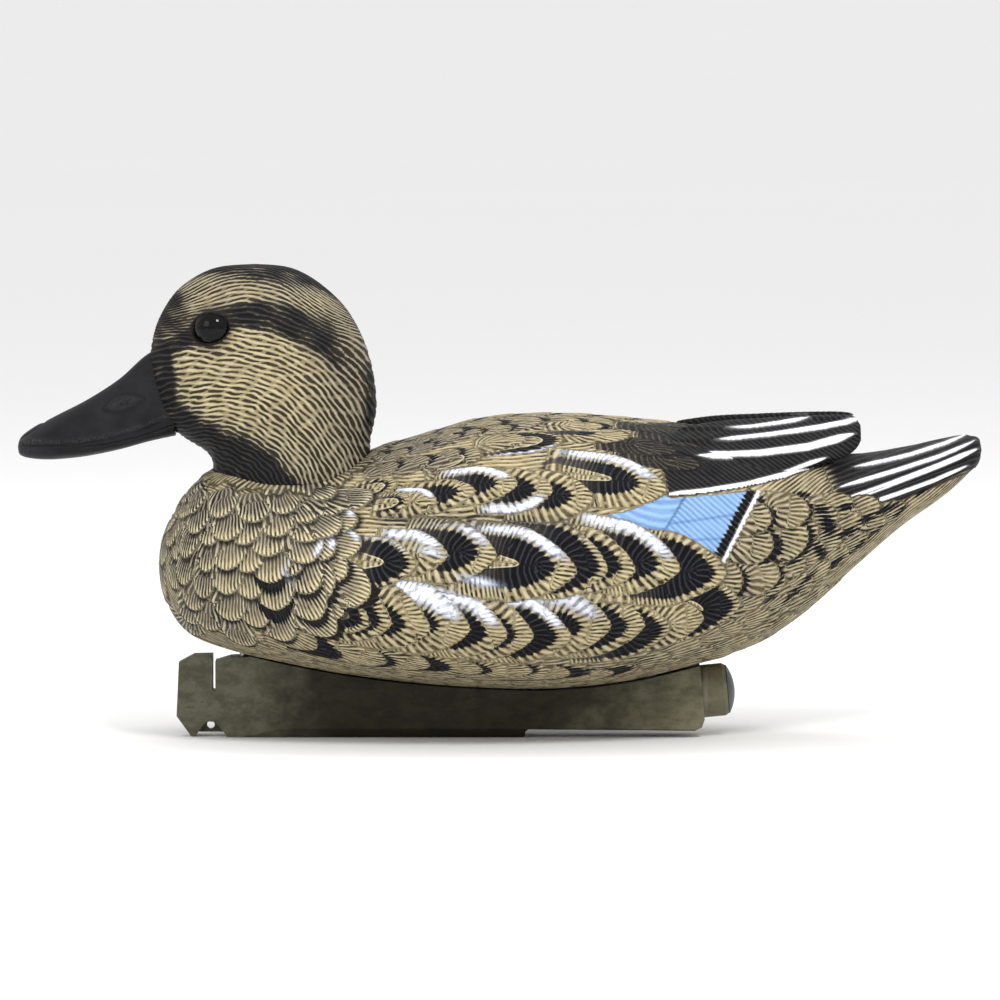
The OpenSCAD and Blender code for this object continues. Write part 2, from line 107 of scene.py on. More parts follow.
# Bill: x, underside z, height of the edge, top z, half width
BILL = [
    [-210, 126, 126, 126, 0],
    [-208.8, 122.4, 126, 130, 6.6],
    [-204, 120.8, 126, 134, 11],
    [-194, 120.4, 127, 139.6, 13.8],
    [-180, 121.8, 128.4, 146.8, 13.6],
    [-166, 124.6, 131, 155.8, 12.8],
    [-152, 128.4, 136, 167.6, 13.2],
    [-138, 131.4, 140, 170, 14],
]
# Folded wing tip: x, centre y, centre z, half breadth, half thickness
WING = [
    [52, 40, 118, 10, 4],
    [70, 36, 121.5, 15.5, 5.4],
    [92, 31, 125, 17.2, 6],
    [114, 25.5, 127.4, 16, 5.8],
    [134, 20.5, 129.8, 13.6, 5.2],
    [148, 17, 132, 11, 4.4],
    [154, 15.4, 133.2, 8, 3.2],
    [156.4, 14.8, 133.8, 3, 1.4],
]
WING_SLOPE = math.radians(46)
EYE = (-125.0, 21.8, 178.8)  # centre of the eye's seat
EYE_R, DOME_R = 8.0, 8.9
EYE_TURN = math.radians(18)

# ---- Painted lines of the wing and tail in side view: x and z along each, and its half width ----

WING_LINES = [
    ([(70, 105.6), (88, 107.4), (106, 110.2), (124, 114.8), (141, 121.2)], 0.9),
    ([(85, 123.0), (99, 122.8), (112, 123.3), (133, 126.0), (153.5, 131.6)], 1.1),
    ([(93, 128.9), (118, 131.6), (138, 134.6), (158, 138.7)], 0.75),
    ([(98, 134.3), (108, 134.8), (120, 136.4), (134, 138.8)], 0.5),
]
TAIL_LINES = [
    ([(153, 118.2), (166, 121.0), (178, 123.9), (192, 128.4), (204, 133.0)], 0.8),
    ([(146.5, 109.0), (158, 112.6), (172, 116.8), (190, 122.6), (207, 129.4)], 1.0),
    ([(144, 100.8), (158, 106.0), (172, 111.2), (190, 118.0), (208, 125.2)], 1.5),
    ([(143.5, 96.8), (158, 100.6), (172, 105.2), (188, 110.8), (203.5, 117.4)], 1.1),
]
SPECULUM = [
    (38, 96.0), (47, 97.2), (55.5, 98.7), (63, 102), (70, 106), (73, 104.2), (90, 105.6), (108, 107.6), (104.5, 99),
    (99.5, 89), (94, 78.6), (89, 81.4), (83.6, 84.8), (79, 86.4), (73.8, 87.2), (64, 87.2), (52.4, 90.8),
]


def smooth(low, high, value):
    """0 below low, 1 above high, and an S curve between."""
    u = np.clip((value - low) / (high - low), 0.0, 1.0)
    return u * u * (3 - 2 * u)


def bell(value, width):
    """1 at zero, falling off smoothly over the width."""
    return np.exp(-((value / width) ** 2))


def at_least(field, value):
    field[:] = np.maximum(field, value)


def blend(field, value, share):
    """Moves a field towards value by share."""
    field[:] = field * (1 - share) + value * share


def stroke(f, where, barb, run):
    """Sets the phases of the barbs on part of a surface."""
    f.barb[where], f.run[where] = barb[where], run[where]


def slanted(x, z, degrees):
    """Distance across strokes that rise to the rear by an angle."""
    slant = math.radians(degrees)
    return z * math.cos(slant) - x * math.sin(slant)


def shallow(depth, most=4):
    return np.clip(depth, AWAY, most)


def ring_angles(count):
    return np.linspace(0, 2 * np.pi, count, endpoint=False)[None, :]


def grid(x, y, z):
    return np.stack(np.broadcast_arrays(x, y, z), axis=2)


def spine(x, z):
    """Centres of the rings, on the plane y = 0."""
    return np.stack([x, 0 * x, z], axis=2)


def station(rows, t):
    """The table's rows at places t, on a smooth curve through them."""
    rows = np.asarray(rows, float)
    last = len(rows) - 1
    i = np.minimum(np.floor(t).astype(int), last - 1)
    u = (t - i)[:, None]
    a, b, c, d = rows[np.maximum(i - 1, 0)], rows[i], rows[i + 1], rows[np.minimum(i + 2, last)]
    return 0.5 * (2 * b + (c - a) * u + (2 * a - 5 * b + 4 * c - d) * u**2 + (3 * b - a - 3 * c + d) * u**3)


def columns_of(rows, t):
    """The table's columns at places t, each as one column of numbers."""
    s = station(rows, t)
    return [s[:, k : k + 1] for k in range(s.shape[1])]


def power(value, exponent):
    return np.sign(value) * np.abs(value) ** exponent


def even(rows, first, last, count, weights):
    """Places along a table, first to last, at even steps of the distance that the weighted columns travel."""
    t = np.linspace(first, last, 5000)
    s = station(rows, t) * np.sqrt(np.asarray(weights, float))
    travel = np.concatenate([[0], np.cumsum(np.linalg.norm(np.diff(s, axis=0), axis=1))])
    return np.interp(np.linspace(0, travel[-1], count), travel, t)


def even_ring(y, z, count):
    """count points at even steps along each row of a fine polyline, and their distance from its start."""
    step = np.hypot(np.diff(y, axis=1), np.diff(z, axis=1))
    travel = np.concatenate([np.zeros((len(y), 1)), np.cumsum(step, axis=1)], axis=1)
    share = np.linspace(0, 1, count)
    ys, zs = np.empty((len(y), count)), np.empty((len(y), count))
    for i in range(len(y)):
        at = share * travel[i, -1]
        ys[i], zs[i] = np.interp(at, travel[i], y[i]), np.interp(at, travel[i], z[i])
    return ys, zs, travel[:, -1:] * share


def normals(points, centre):
    """Unit normals of a grid of points, pointing away from centre."""
    along = np.gradient(points, axis=0)
    around = np.gradient(points, axis=1)
    n = np.cross(along, around)
    n /= np.maximum(np.linalg.norm(n, axis=2, keepdims=True), 1e-9)
    return n * np.where(np.sum(n * (points - centre), axis=2, keepdims=True) < 0, -1.0, 1.0)


def line_z(points, x):
    """Height at x of a line given by a few points."""
    p = np.asarray(points, float)
    return np.interp(x, p[:, 0], p[:, 1])


def polygon_depth(corners, x, z):
    """Distance in from a polygon's edge, negative outside."""
    p = np.asarray(corners, float)
    q = np.roll(p, -1, axis=0)
    inside = np.zeros(x.shape, bool)
    near = np.full(x.shape, 1e9)
    for (ax, az), (bx, bz) in zip(p, q):
        crosses = (az > z) != (bz > z)
        inside ^= crosses & (x < (bx - ax) * (z - az) / (bz - az + 1e-12) + ax)
        u = np.clip(((x - ax) * (bx - ax) + (z - az) * (bz - az)) / ((bx - ax) ** 2 + (bz - az) ** 2), 0, 1)
        near = np.minimum(near, np.hypot(x - ax - u * (bx - ax), z - az - u * (bz - az)))
    return np.where(inside, near, -near)


# ---- Feathers laid on half a surface ----

AWAY = -4.0  # depth that stands for outside
FIELDS = {
    "rise": 0.0,  # height over the base surface, mm
    "band": AWAY,  # depth in from the outer edge of a black band, mm, negative outside it
    "core": AWAY,  # depth in the raised buff petal that ends a band on its inner side, mm
    "haze": 0.0,  # how far a black band fades to grey
    "rim": 0.0,  # shadow under a feather's edge
    "frost": 0.0,  # soft white highlight
    "glint": 0.0,  # dry-brushed cream along a feather's tip, also a painted highlight on it
    "tone": 0.0,  # how far the ground is charcoal
    "dusk": 0.0,  # grey-brown shade in hollows
    "blue": AWAY,  # depth in the blue patch, mm
    "white": AWAY,  # depth in a crisp white line, mm
    "barb": 0.0,  # phase across the barbs, radians
    "run": 0.0,  # phase along the barbs, radians
}
BARB = 2.35  # mm from barb to barb
DASH = 9.0  # mm from dash to dash along a barb
HASH, TOSS = 12.7, 20.0  # scatter the dashes from barb to barb
TILT = 0.07  # side views in the tables look down by this slope


class Fields(dict):
    """Arrays by name, read as attributes."""

    __getattr__ = dict.__getitem__


class Skin:
    """Half of a surface as a grid of points, with the fields that its relief and paint are made from."""

    def __init__(self, points, centre):
        self.p = points
        self.n = normals(points, centre)
        self.x, self.y, self.z = (points[:, :, k] for k in range(3))
        self.h = self.z - TILT * np.abs(self.y)  # height in the tables' side view
        self.f = Fields((name, np.full(points.shape[:2], value)) for name, value in FIELDS.items())

    def find(self, across, up, axis, sign):
        """Grid index of the point nearest to two places, among those that face along an axis."""
        squares = sum((field - place) ** 2 for field, place in (across, up))
        return np.unravel_index(np.argmin(np.where(sign * self.n[:, :, axis] > 0.05, squares, 1e9)), squares.shape)

    def side(self, x, h):
        return self.find((self.x, x), (self.h, h), 1, -1)

    def top(self, x, y):
        return self.find((self.x, x), (self.y, y), 2, 1)

    def under(self, x, y):
        return self.find((self.x, x), (self.y, y), 2, -1)

    def front(self, y, z):
        return self.find((self.y, y), (self.z, z), 0, -1)

    def local(self, index, heading, reach, pad):
        """Rows near a point, and their coordinates along, across and above it. Heading 0 is towards the tail."""
        c, n = self.p[index], self.n[index]
        i0, i1 = np.searchsorted(self.x[:, self.x.shape[1] // 2], [c[0] - reach - pad, c[0] + reach + pad])
        i0, i1 = max(i0 - 2, 0), min(i1 + 2, len(self.p))
        flow = np.array([1.0, 0, 0]) if abs(n[0]) < 0.9 else np.array([0, -1.0, 0])
        tail = flow - (flow @ n) * n
        tail /= np.linalg.norm(tail)
        up = np.cross(tail, n)
        if up[2] < 0 or abs(up[2]) < 0.2 and up[1] < 0:
            up = -up
        h = math.radians(heading)
        a_dir, b_dir = math.cos(h) * tail + math.sin(h) * up, math.cos(h) * up - math.sin(h) * tail
        d = self.p[i0:i1] - c
        return slice(i0, i1), d @ a_dir, d @ b_dir, d @ n

    def feather(
        self, index, heading, half, tip, edge=4.0, band=6.0, point=1.8, rise=0.8, frost=0.0, tone=0.0, dusk=0.0,
        root=0.0, shade=0.4, drop=0.0, period=BARB, splay=1.0, glint=0.0, dash=DASH,
    ):
        """Lays one feather with its tip at index. half is its half width, tip the length of its rounded end,
        edge and band the depths at the tip of the buff edge and the black band inside it, all in mm.
        frost is a highlight on the upper edge, or on the lower one where it is negative. root is the grey shade
        at its root, shade the shadow that it throws on what it lies on, drop the length of a black band that it
        throws there. splay is small where the barbs turn out sharply and large where they run straight. glint is
        the cream along its tip, also a painted highlight there."""
        body = 1.2 * tip  # length of the part before the rounded end
        rows, a, b, c = self.local(index, heading, tip + body, half)
        f = Fields((name, field[rows]) for name, field in self.f.items())
        back = np.minimum(a + tip, tip * 4)
        q = np.maximum(back, 0) / tip
        w = np.abs(b) / half
        e = np.clip((w**point + q**point) ** (1 / point), 1e-6, 6)
        slope = e ** (1 - point) * np.hypot(w ** (point - 1) / half, q ** (point - 1) / tip)
        depth = np.clip((1 - e) / np.maximum(slope, 1e-3), -20, 20)
        phase0, run0, bend = rng.uniform(0, 2 * np.pi, 3)
        # Barbs are parabolas round a focus on the shaft, at even steps along the feather's edge
        focus = half * splay
        sigma = np.sign(b) * np.sqrt(np.maximum(np.hypot(a + focus, b) - a - focus, 0))
        tau = math.sqrt(2 * focus)
        turned = 0.5 * (sigma * np.hypot(sigma, tau) + tau**2 * np.arcsinh(sigma / tau))
        # where they crowd towards the focus, every second one ends
        crowd = np.sqrt((tau**2 + sigma**2) / (2 * np.maximum(np.hypot(a + focus, b), 0.05)))
        count = turned / period + phase0
        for k in (1, 2):
            many = crowd > (1.3 + 0.2 * np.sin(12.9 * np.round(count))) * k
            count = np.where(many, count / 2, count)
        phase = 2 * np.pi * count
        phase = phase + 0.6 * np.sin(a / 3.1 + bend) + 0.5 * np.sin(a / 1.7 + b / 2.3 - bend)
        depth = depth + 0.2 * np.cos(phase)
        near = (a > -tip - body) & (np.abs(c) < 0.45 * (tip + half) + 5)
        root_fade = smooth(-tip - body, -tip - 0.6 * body, a)
        cover = smooth(-0.35, 0.35, depth) * root_fade * near
        # Shadow thrown past the tip, widest there
        at_tip = 0.2 + 0.8 * smooth(1.1, 0.2, w) * smooth(-0.7 * tip, 0, a)
        reach = 0.9 + 3.2 * at_tip * shade
        throw = np.where(near & (depth < 0.3), smooth(-reach, -0.2 * reach, depth), 0) * at_tip * root_fade
        f.rim[:] = np.maximum(f.rim * (1 - cover), throw * shade * (1 - cover))
        if drop:
            past = np.where(near & (a > -0.8 * tip), drop * at_tip + depth, AWAY) + AWAY * smooth(-0.2, 0.3, depth)
            hit = past > f.band
            f.core[hit], f.haze[hit] = AWAY, 0
            at_least(f.band, shallow(past, 8))
        s = (1 - e) * tip
        arm = np.clip((-a - tip) / body, 0, 1)
        outer = s - edge * (1 - 0.1 * arm)
        core = s - edge - band * (1 - 0.7 * arm)
        if band <= 0:
            outer = core = np.full_like(s, AWAY)
        height = rise * np.clip(1 + a / (tip + 0.8 * body), 0, 1) * (1 - 0.3 * np.minimum(w, 1) ** 2)
        height = height - 0.3 * rise * smooth(1.4, 0.0, depth)
        if band > 0:
            height = height + 0.3 * smooth(-0.4, 0.5, core) - 0.2 * smooth(-1.0, 1.0, outer)
        upper = smooth(0.0, 0.45, np.sign(frost) * b / half) if frost else 0
        shine = abs(frost) * upper * bell(s - 0.4 * edge, 0.42 * edge + 0.7)
        shine = shine * smooth(-tip - body, -tip - 0.3 * body, a) * (1 - 0.75 * smooth(-0.45 * tip, 0.0, a))
        values = {
            "rise": height, "band": shallow(outer, 8), "core": shallow(core), "haze": arm**1.3,
            "frost": shine, "tone": tone, "blue": AWAY, "white": AWAY,
            "dusk": dusk + root * smooth(-0.1 * tip, -0.9 * tip, a), "glint": glint * smooth(0.55 * tip, 0, s),
        }
        for name, value in values.items():
            blend(f[name], value, cover)
        stroke(f, cover > 0.5, phase, 2 * np.pi * s / dash + run0)

    def spot(self, index, heading, length, width, depth=2.6):
        """A soft dark blotch."""
        rows, a, b, c = self.local(index, heading, length, width)
        b = b + 0.06 * a * a / length
        e = np.hypot(a / length, b / width)
        near = (np.abs(c) < 14) & (e < 1.8)
        value = shallow(depth * (1 - e), 8)
        at_least(self.f.band[rows], np.where(near, value, AWAY))

    def glow(self, index, heading, length, width, amount):
        """A soft airbrushed white highlight over whatever is there."""
        rows, a, b, c = self.local(index, heading, 1.6 * length, width)
        value = amount * bell(a, length) * bell(b, width) * (np.abs(c) < 20)
        at_least(self.f.frost[rows], value)


def lay_wing_lines(skin, where, step):
    """The wing's charcoal ground, its white edge lines and the step of each feather over the one below."""
    x, z = skin.x, skin.h
    levels = [line_z(points, x) for points, _ in WING_LINES]
    levels.append(levels[-1] + 8)
    f = skin.f
    blend(f.tone, 1, where)
    for name in ("band", "core"):
        blend(f[name], AWAY, where)
    for name in ("rim", "frost", "dusk", "haze"):
        f[name] *= 1 - where
    rise = np.zeros_like(x)
    rim = np.zeros_like(x)
    for k, (points, half) in enumerate(WING_LINES):
        low, high = levels[k], levels[k + 1]
        part = smooth(-0.35, 0.35, z - low + half)
        rise = rise * (1 - part) + part * step * np.clip(1 - (z - low) / np.maximum(high - low, 1), 0, 1)
        ends = np.minimum(x - points[0][0], points[-1][0] - x)
        wider = 1 + 0.5 * smooth(points[0][0], points[-1][0], x)
        thin = half * wider * np.clip(ends / 7, 0, 1) ** 0.6
        white = np.where(where > 0.5, np.minimum(thin - np.abs(z - low), ends * 0.5), AWAY)
        at_least(f.white, shallow(white))
        # Painted shadow under each white line
        rim = np.maximum(rim, smooth(1.6, 0.2, low - half - z) * (z < low - half) * (ends > 0))
    blend(f.rise, rise, where)
    at_least(f.rim, rim * where)
    phase = 2 * np.pi * slanted(x, z, -38) / 1.8 + 1.2 * np.sin(x / 4.3 + z / 2.9)
    stroke(f, where > 0.5, phase, 2 * np.pi * x / 6)


def lay_tail(skin):
    """Charcoal tail feathers with white lines on top, over a tan underside."""
    x, z = skin.x, skin.h
    f = skin.f
    low = line_z(TAIL_LINES[3][0], x)
    where = smooth(136, 150, x + 0.35 * (z - 110)) * smooth(-6.5, -1.5, z - low)
    at_least(f.tone, where)
    levels = [line_z(points, x) for points, _ in reversed(TAIL_LINES)]
    levels.append(levels[-1] + 8)
    for k, (points, half) in enumerate(reversed(TAIL_LINES)):
        part = smooth(-0.35, 0.35, z - levels[k] + half) * smooth(138, 150, x)
        step = 0.7 * np.clip(1 - (z - levels[k]) / np.maximum(levels[k + 1] - levels[k], 1), 0, 1)
        blend(f.rise, step, part)
        ends = np.minimum(x - points[0][0], points[-1][0] - x)
        thin = half * np.clip(ends / 9, 0, 1) ** 0.5
        white = np.minimum(thin - np.abs(z - levels[k]), ends * 0.5)
        if half > 1.2:  # a grey line runs along the middle of the widest one
            white = np.minimum(white, np.abs(z - levels[k] + 0.3) - 0.15 + 0.5 * smooth(160, 180, x))
        at_least(f.white, shallow(white))
        # Painted shadow under each white line
        under = smooth(1.5, 0.2, levels[k] - half - z) * (z < levels[k] - half) * (ends > 0)
        at_least(f.rim, 0.8 * under)
    stroke(f, where > 0.5, 2 * np.pi * slanted(x, z, 20) / 2.3, 2 * np.pi * x / 22)


def lay_speculum(skin):
    """The blue wing patch with its feather lines, black bar and white bar."""
    x, z = skin.x, skin.h
    f = skin.f
    depth = polygon_depth(SPECULUM, x, z)
    # Black then white bar on the rear edge, along the line from its top to its foot
    top, foot = np.array([108.8, 107.4]), np.array([94.4, 78.4])
    axis = (foot - top) / np.linalg.norm(foot - top)
    along = (x - top[0]) * axis[0] + (z - top[1]) * axis[1]
    out = (x - top[0]) * -axis[1] + (z - top[1]) * axis[0]
    length = np.linalg.norm(foot - top)
    ends = np.minimum(along + 0.6, length - along)
    jag = 0.5 * np.sin(along * 1.9) + 0.4 * np.sin(along * 4.3 + 1)
    black = np.minimum(3.4 - 1.6 * np.abs(out + 0.1 - 0.35 * jag), 2 * ends)
    white = np.minimum(0.85 + 0.25 * jag - np.abs(out - 2.75 - 0.3 * jag), ends + 1.4)
    where = smooth(-0.3, 0.3, depth)
    bar = smooth(0.0, 0.6, np.maximum(black, white + 0.4))
    both = np.maximum(where, bar)
    for name, clear in FIELDS.items():
        if name not in ("rise", "barb", "run"):
            blend(f[name], clear, both)
    at_least(f.blue, shallow(depth))
    at_least(f.band, shallow(black))
    at_least(f.white, shallow(white))
    # Three feathers along the patch, each ending in the bar, behind three short coverts
    fold = x - 78.1 - (z - 102.4) * 0.58
    seams = z - 85.8 - (x - 84.8) * 0.04, z - 93.2 - (x - 75) * 0.137
    split = fold < 0
    rear = np.where(seams[1] > 0, 2, np.where(seams[0] > 0, 1, 0))
    foot_z = np.choose(rear, [79.0, 86.0, 94.0]) + 0.12 * (x - 88)
    rise = np.where(split, 0.25 + 0.5 * smooth(-28, 0, fold), 0.6 - 0.06 * (z - foot_z))
    blend(f.rise, np.clip(rise, 0, 0.8), both)
    # Painted shade along the fold and the seams between the feathers
    seam = np.where(split, 2.0, np.minimum(*np.abs(seams)))
    line = smooth(0.9, 0.1, np.minimum(np.abs(fold), seam)) * where
    at_least(f.rim, 0.75 * line)
    front = 2 * np.pi * (z * math.cos(-0.85) - x * math.sin(-0.85) - 0.012 * (x - 40) ** 2) / 2.6
    back = 2 * np.pi * (z * math.cos(-0.75) - x * math.sin(-0.75)) / 2.1
    stroke(f, both > 0.5, np.where(split, front, back), 2 * np.pi * x / 30)


# Feathers in side view, from tail to head: x, height of the tip, heading, half width, tip length, buff edge,
# black band, highlight
RUMP = [
    (133, 84, -18, 12, 14, 2.4, 3.4, 0), (134, 98, -4, 8, 10, 2.2, 2.4, 0), (121, 69, -14, 9, 12, 2.6, 2.4, 0),
    (118, 82, -14, 9, 11, 2.8, 5.0, 0), (117, 95, 0, 8, 10, 2, 2.6, 0), (105, 66, -14, 11, 13, 3, 3, 0),
]
RUMP_SMALL = [
    (176, 100), (168, 93), (160, 86), (152, 80), (144, 74), (136, 67), (127, 60), (117, 53), (106, 47), (165, 101),
    (157, 94), (149, 88), (141, 82), (133, 75), (124, 68), (115, 61), (153, 102), (146, 96), (138, 90),
]
LOWER = [
    (50, 27, 4, 8, 12, 1.8, 8, 0.3), (31, 26.6, -14, 8, 11, 1.8, 9, 0), (14, 28, -4, 8, 13, 2, 3, 0),
    (-7, 28, -8, 8, 13, 2, 4, 0), (-30, 30, -10, 8.5, 13, 1.8, 9, 0.2), (-49, 31.5, -14, 9, 12, 2, 4.5, 0),
    (-79, 37.5, -28, 10, 12, 2, 12, 0),
]
FLANK = [
    (104, 57, -10, 18, 26, 3.6, 12, 0), (88, 51, -6, 15, 20, 4, 0, 0), (73.5, 47, -6, 17, 22, 3.4, 9, 0),
    (62.8, 48.7, -6, 17, 22, 7.6, 9, 0), (48.1, 48, -6, 17, 22, 13, 6, 0.7), (31, 43.6, -6, 17.5, 22, 6, 11.5, 1.0),
    (15.1, 44.1, -6, 16.5, 21, 7.4, 6, 0.2), (3.5, 44.8, -6, 17, 22, 8.6, 9.6, 1.0),
    (-12.1, 46.9, -6, 17, 22, 13.4, 6, 1.0), (-29.9, 46.9, -8, 16, 20, 10.6, 6.4, 0.15),
    (-45.7, 49.4, -10, 14, 17, 4.6, 8, 0.1), (-56, 49, -18, 10, 13, 3.2, 5, 0),
]
COVERTS = [
    (98, 70.5, -10, 16, 28, 5.6, 15, 0.2), (77.7, 72.6, -13, 16, 26, 10, 12, 1.0),
    (58.6, 72.6, -12, 14, 22, 6.2, 9, 0.2), (46.2, 72.8, -11, 17, 24, 3.6, 11, 0.3),
    (33.7, 72, -8, 16.5, 28, 9.6, 12.6, 1.0), (-1.4, 78.6, -8, 14.5, 21, 7.8, 13, 0.8),
    (-21.9, 79.2, -8, 11, 17, 10, 0, 0.9), (-36, 75.4, -8, 12, 17, 3, 9, 0.5),
]
BACK_SIDE = [
    (110, 133, 2, 6, 16, 1.5, 0, 0), (96, 127.5, -3, 7.5, 20, 2.2, 9, 0), (84, 133, -3, 7, 18, 2, 5, 0),
    (87, 118.6, -8, 7.5, 20, 2.4, 9, 0), (76, 125, -6, 7, 18, 2.2, 6, 0), (55.5, 131.5, -3, 9, 19, 14, 8.4, 0),
    (45, 136, 0, 6, 13, 3, 4, 0), (27.6, 130, 2, 9, 18, 2, 5.4, -1.0), (11, 130.6, 2, 7, 12, 2.2, 7, 0),
    (5, 136, 6, 5, 8, 2, 3.2, 0), (-8, 134.6, 10, 5, 8, 2, 3.2, 0), (-8.5, 124, 2, 9, 13, 6.4, 1, 0),
    (-17.6, 132.3, 10, 5, 8, 2, 3.2, 0), (-17.8, 125, 8, 6, 9, 1.8, 3, 0), (-27, 133, 14, 5, 7, 2, 2.6, 0),
    (-29, 128.6, 12, 5, 7, 2, 2.6, 0), (-31, 122.2, 8, 6.5, 9, 2, 3.4, 0), (-39.7, 126, 14, 5, 7, 2, 2.4, 0),
    (-44.6, 119.6, 10, 6, 8, 2.2, 3, 0),
]
SCAPULARS = [
    (71.5, 107.4, -9.5, 15, 27, 12, 9.8, 0.9), (40.4, 103.8, -5, 13, 19, 9.2, 10, 0),
    (22.6, 107.3, -4, 12, 17, 7.2, 9, -1.0), (7.9, 110, -6, 11, 19, 9, 10, 1.0),
    (-10.3, 107.3, -4, 9.5, 17, 7, 9.6, 0), (-27.2, 102.8, -16, 8.5, 12, 4.6, 0, 1.0),
    (-44.5, 111, -4, 8, 10, 3, 2, 0), (-38, 103, -10, 7, 9, 3, 2, 0),
]
BREAST = [
    (-67, 53, -34, 9, 12, 3.2, 4, 0), (-56, 62, -22, 10, 13, 3.6, 4.4, 0), (-71, 44, -40, 9, 12, 3, 3.6, 0),
    (-66, 71, -30, 10, 13, 3.6, 3, 0), (-60, 83, -22, 9, 12, 3.6, 2.4, 0.9), (-74, 60, -50, 9.5, 12, 3.4, 3.6, 0),
    (-62, 94, -18, 9, 12, 4, 1.6, 0.9), (-78, 51, -60, 9, 12, 3, 4, 0), (-93, 41, -68, 9, 12, 3.4, 3, 0),
    (-111, 39, -76, 8.5, 12, 3.2, 3, 0), (-127, 46, -84, 7.5, 10, 3, 2, 0), (-104, 47, -74, 8.5, 12, 3.4, 2, 0),
    (-81, 63, -66, 9, 12, 3.6, 3, 0), (-96, 55, -80, 9.5, 12, 4, 7, 0), (-117, 50, -84, 9, 12, 4, 2, 0),
    (-134, 55, -90, 7, 10, 3, 2, 0), (-107, 60, -80, 8.5, 11, 4, 0, 0), (-88, 71, -74, 9, 11, 4, 1.8, 0.5),
    (-98, 67, -84, 9.5, 12, 5, 5.5, 0.4), (-117.5, 62, -86, 9, 12, 5, 0, 0), (-138, 66, -94, 7, 10, 3.4, 0, 0),
    (-129, 60, -88, 6, 9, 3.4, 0, 0), (-73, 79, -50, 9, 11, 4.6, 1.2, 0.9), (-108, 72, -84, 8.5, 11, 5, 0, 0),
    (-127, 72, -90, 6, 9, 3.4, 0, 0), (-117, 73, -88, 9, 11, 5, 1.6, 0), (-99, 79, -86, 9, 11, 5, 0, 0),
    (-81.5, 76.5, -72, 8.5, 10, 4, 1.8, 0.9), (-136, 78, -94, 6.5, 10, 4, 0, 0), (-81, 85.6, -72, 8.5, 10, 4.4, 0, 0),
    (-70, 89, -48, 8, 10, 4, 1, 0), (-109, 84, -86, 8, 10, 4.6, 0, 0), (-125, 84, -88, 7, 10, 4.6, 0, 0),
    (-117, 86, -88, 8, 10, 4.6, 1.2, 0), (-95, 88, -84, 8, 10, 4.6, 0, 0), (-131, 89, -90, 7, 10, 4.6, 1.2, 0),
    (-81.5, 94, -68, 7.5, 9, 3.6, 0, 0), (-68, 99, -40, 7.5, 9, 3.6, 1, 0), (-105, 94, -84, 7.5, 10, 4, 0, 0),
    (-120, 96, -88, 7, 10, 4, 0, 0), (-133, 98, -90, 5.5, 9, 3, 0, 0), (-92, 98, -78, 7, 9, 4, 0, 0),
    (-56, 104, -24, 7.5, 10, 3.6, 1, 0.2), (-72, 105, -44, 6.5, 9, 3, 0, 0),
]
# Breast in front view: distance from the middle and height of each tip
CHEST = [
    (16, 46), (0, 50), (32, 52), (44, 58), (9, 58), (22, 62), (37, 67), (0, 67), (49, 70), (12, 74), (25, 76),
    (42, 80), (0, 82), (33, 86), (12, 89), (22, 94), (44, 92), (0, 97), (33, 99), (10, 104), (22, 106),
]
SPOTS = [
    (101, 77, -70, 6, 3.4), (104, 86, -75, 5, 3), (113, 91, -60, 5, 2.6), (113, 103, -20, 5, 2.2),
    (123, 104, -20, 4.4, 2), (126, 91, -60, 6, 3), (142, 92, -70, 7, 3.4), (139, 80, -60, 6, 2.4),
    (151, 88, 12, 6, 2), (159, 94, 14, 5, 2), (146, 75, 30, 5, 2), (134, 68, 30, 5, 1.6), (127, 61, 25, 5.5, 1.8),
    (139, 99, 0, 4, 2.2), (118, 60, 20, 5, 1.6), (156, 82, 30, 5, 1.7), (167, 98, 15, 7, 2), (109, 66, -30, 4, 3),
    (174, 97, 30, 5, 1.6), (131, 106, 0, 4, 1.8), (150, 100, 10, 4, 1.8), (126, 76, 0, 5, 1.6), (163, 88, 28, 5, 1.6),
    (184, 106, 28, 5, 1.5),
]
GLOWS = [
    (-30, 81, -20, 8, 2.5, 0.7), (-9, 68, -12, 11, 2.6, 0.75), (-20, 60, -30, 8, 4.5, 0.7), (-91, 70, -70, 4, 1.6, 0.7),
]


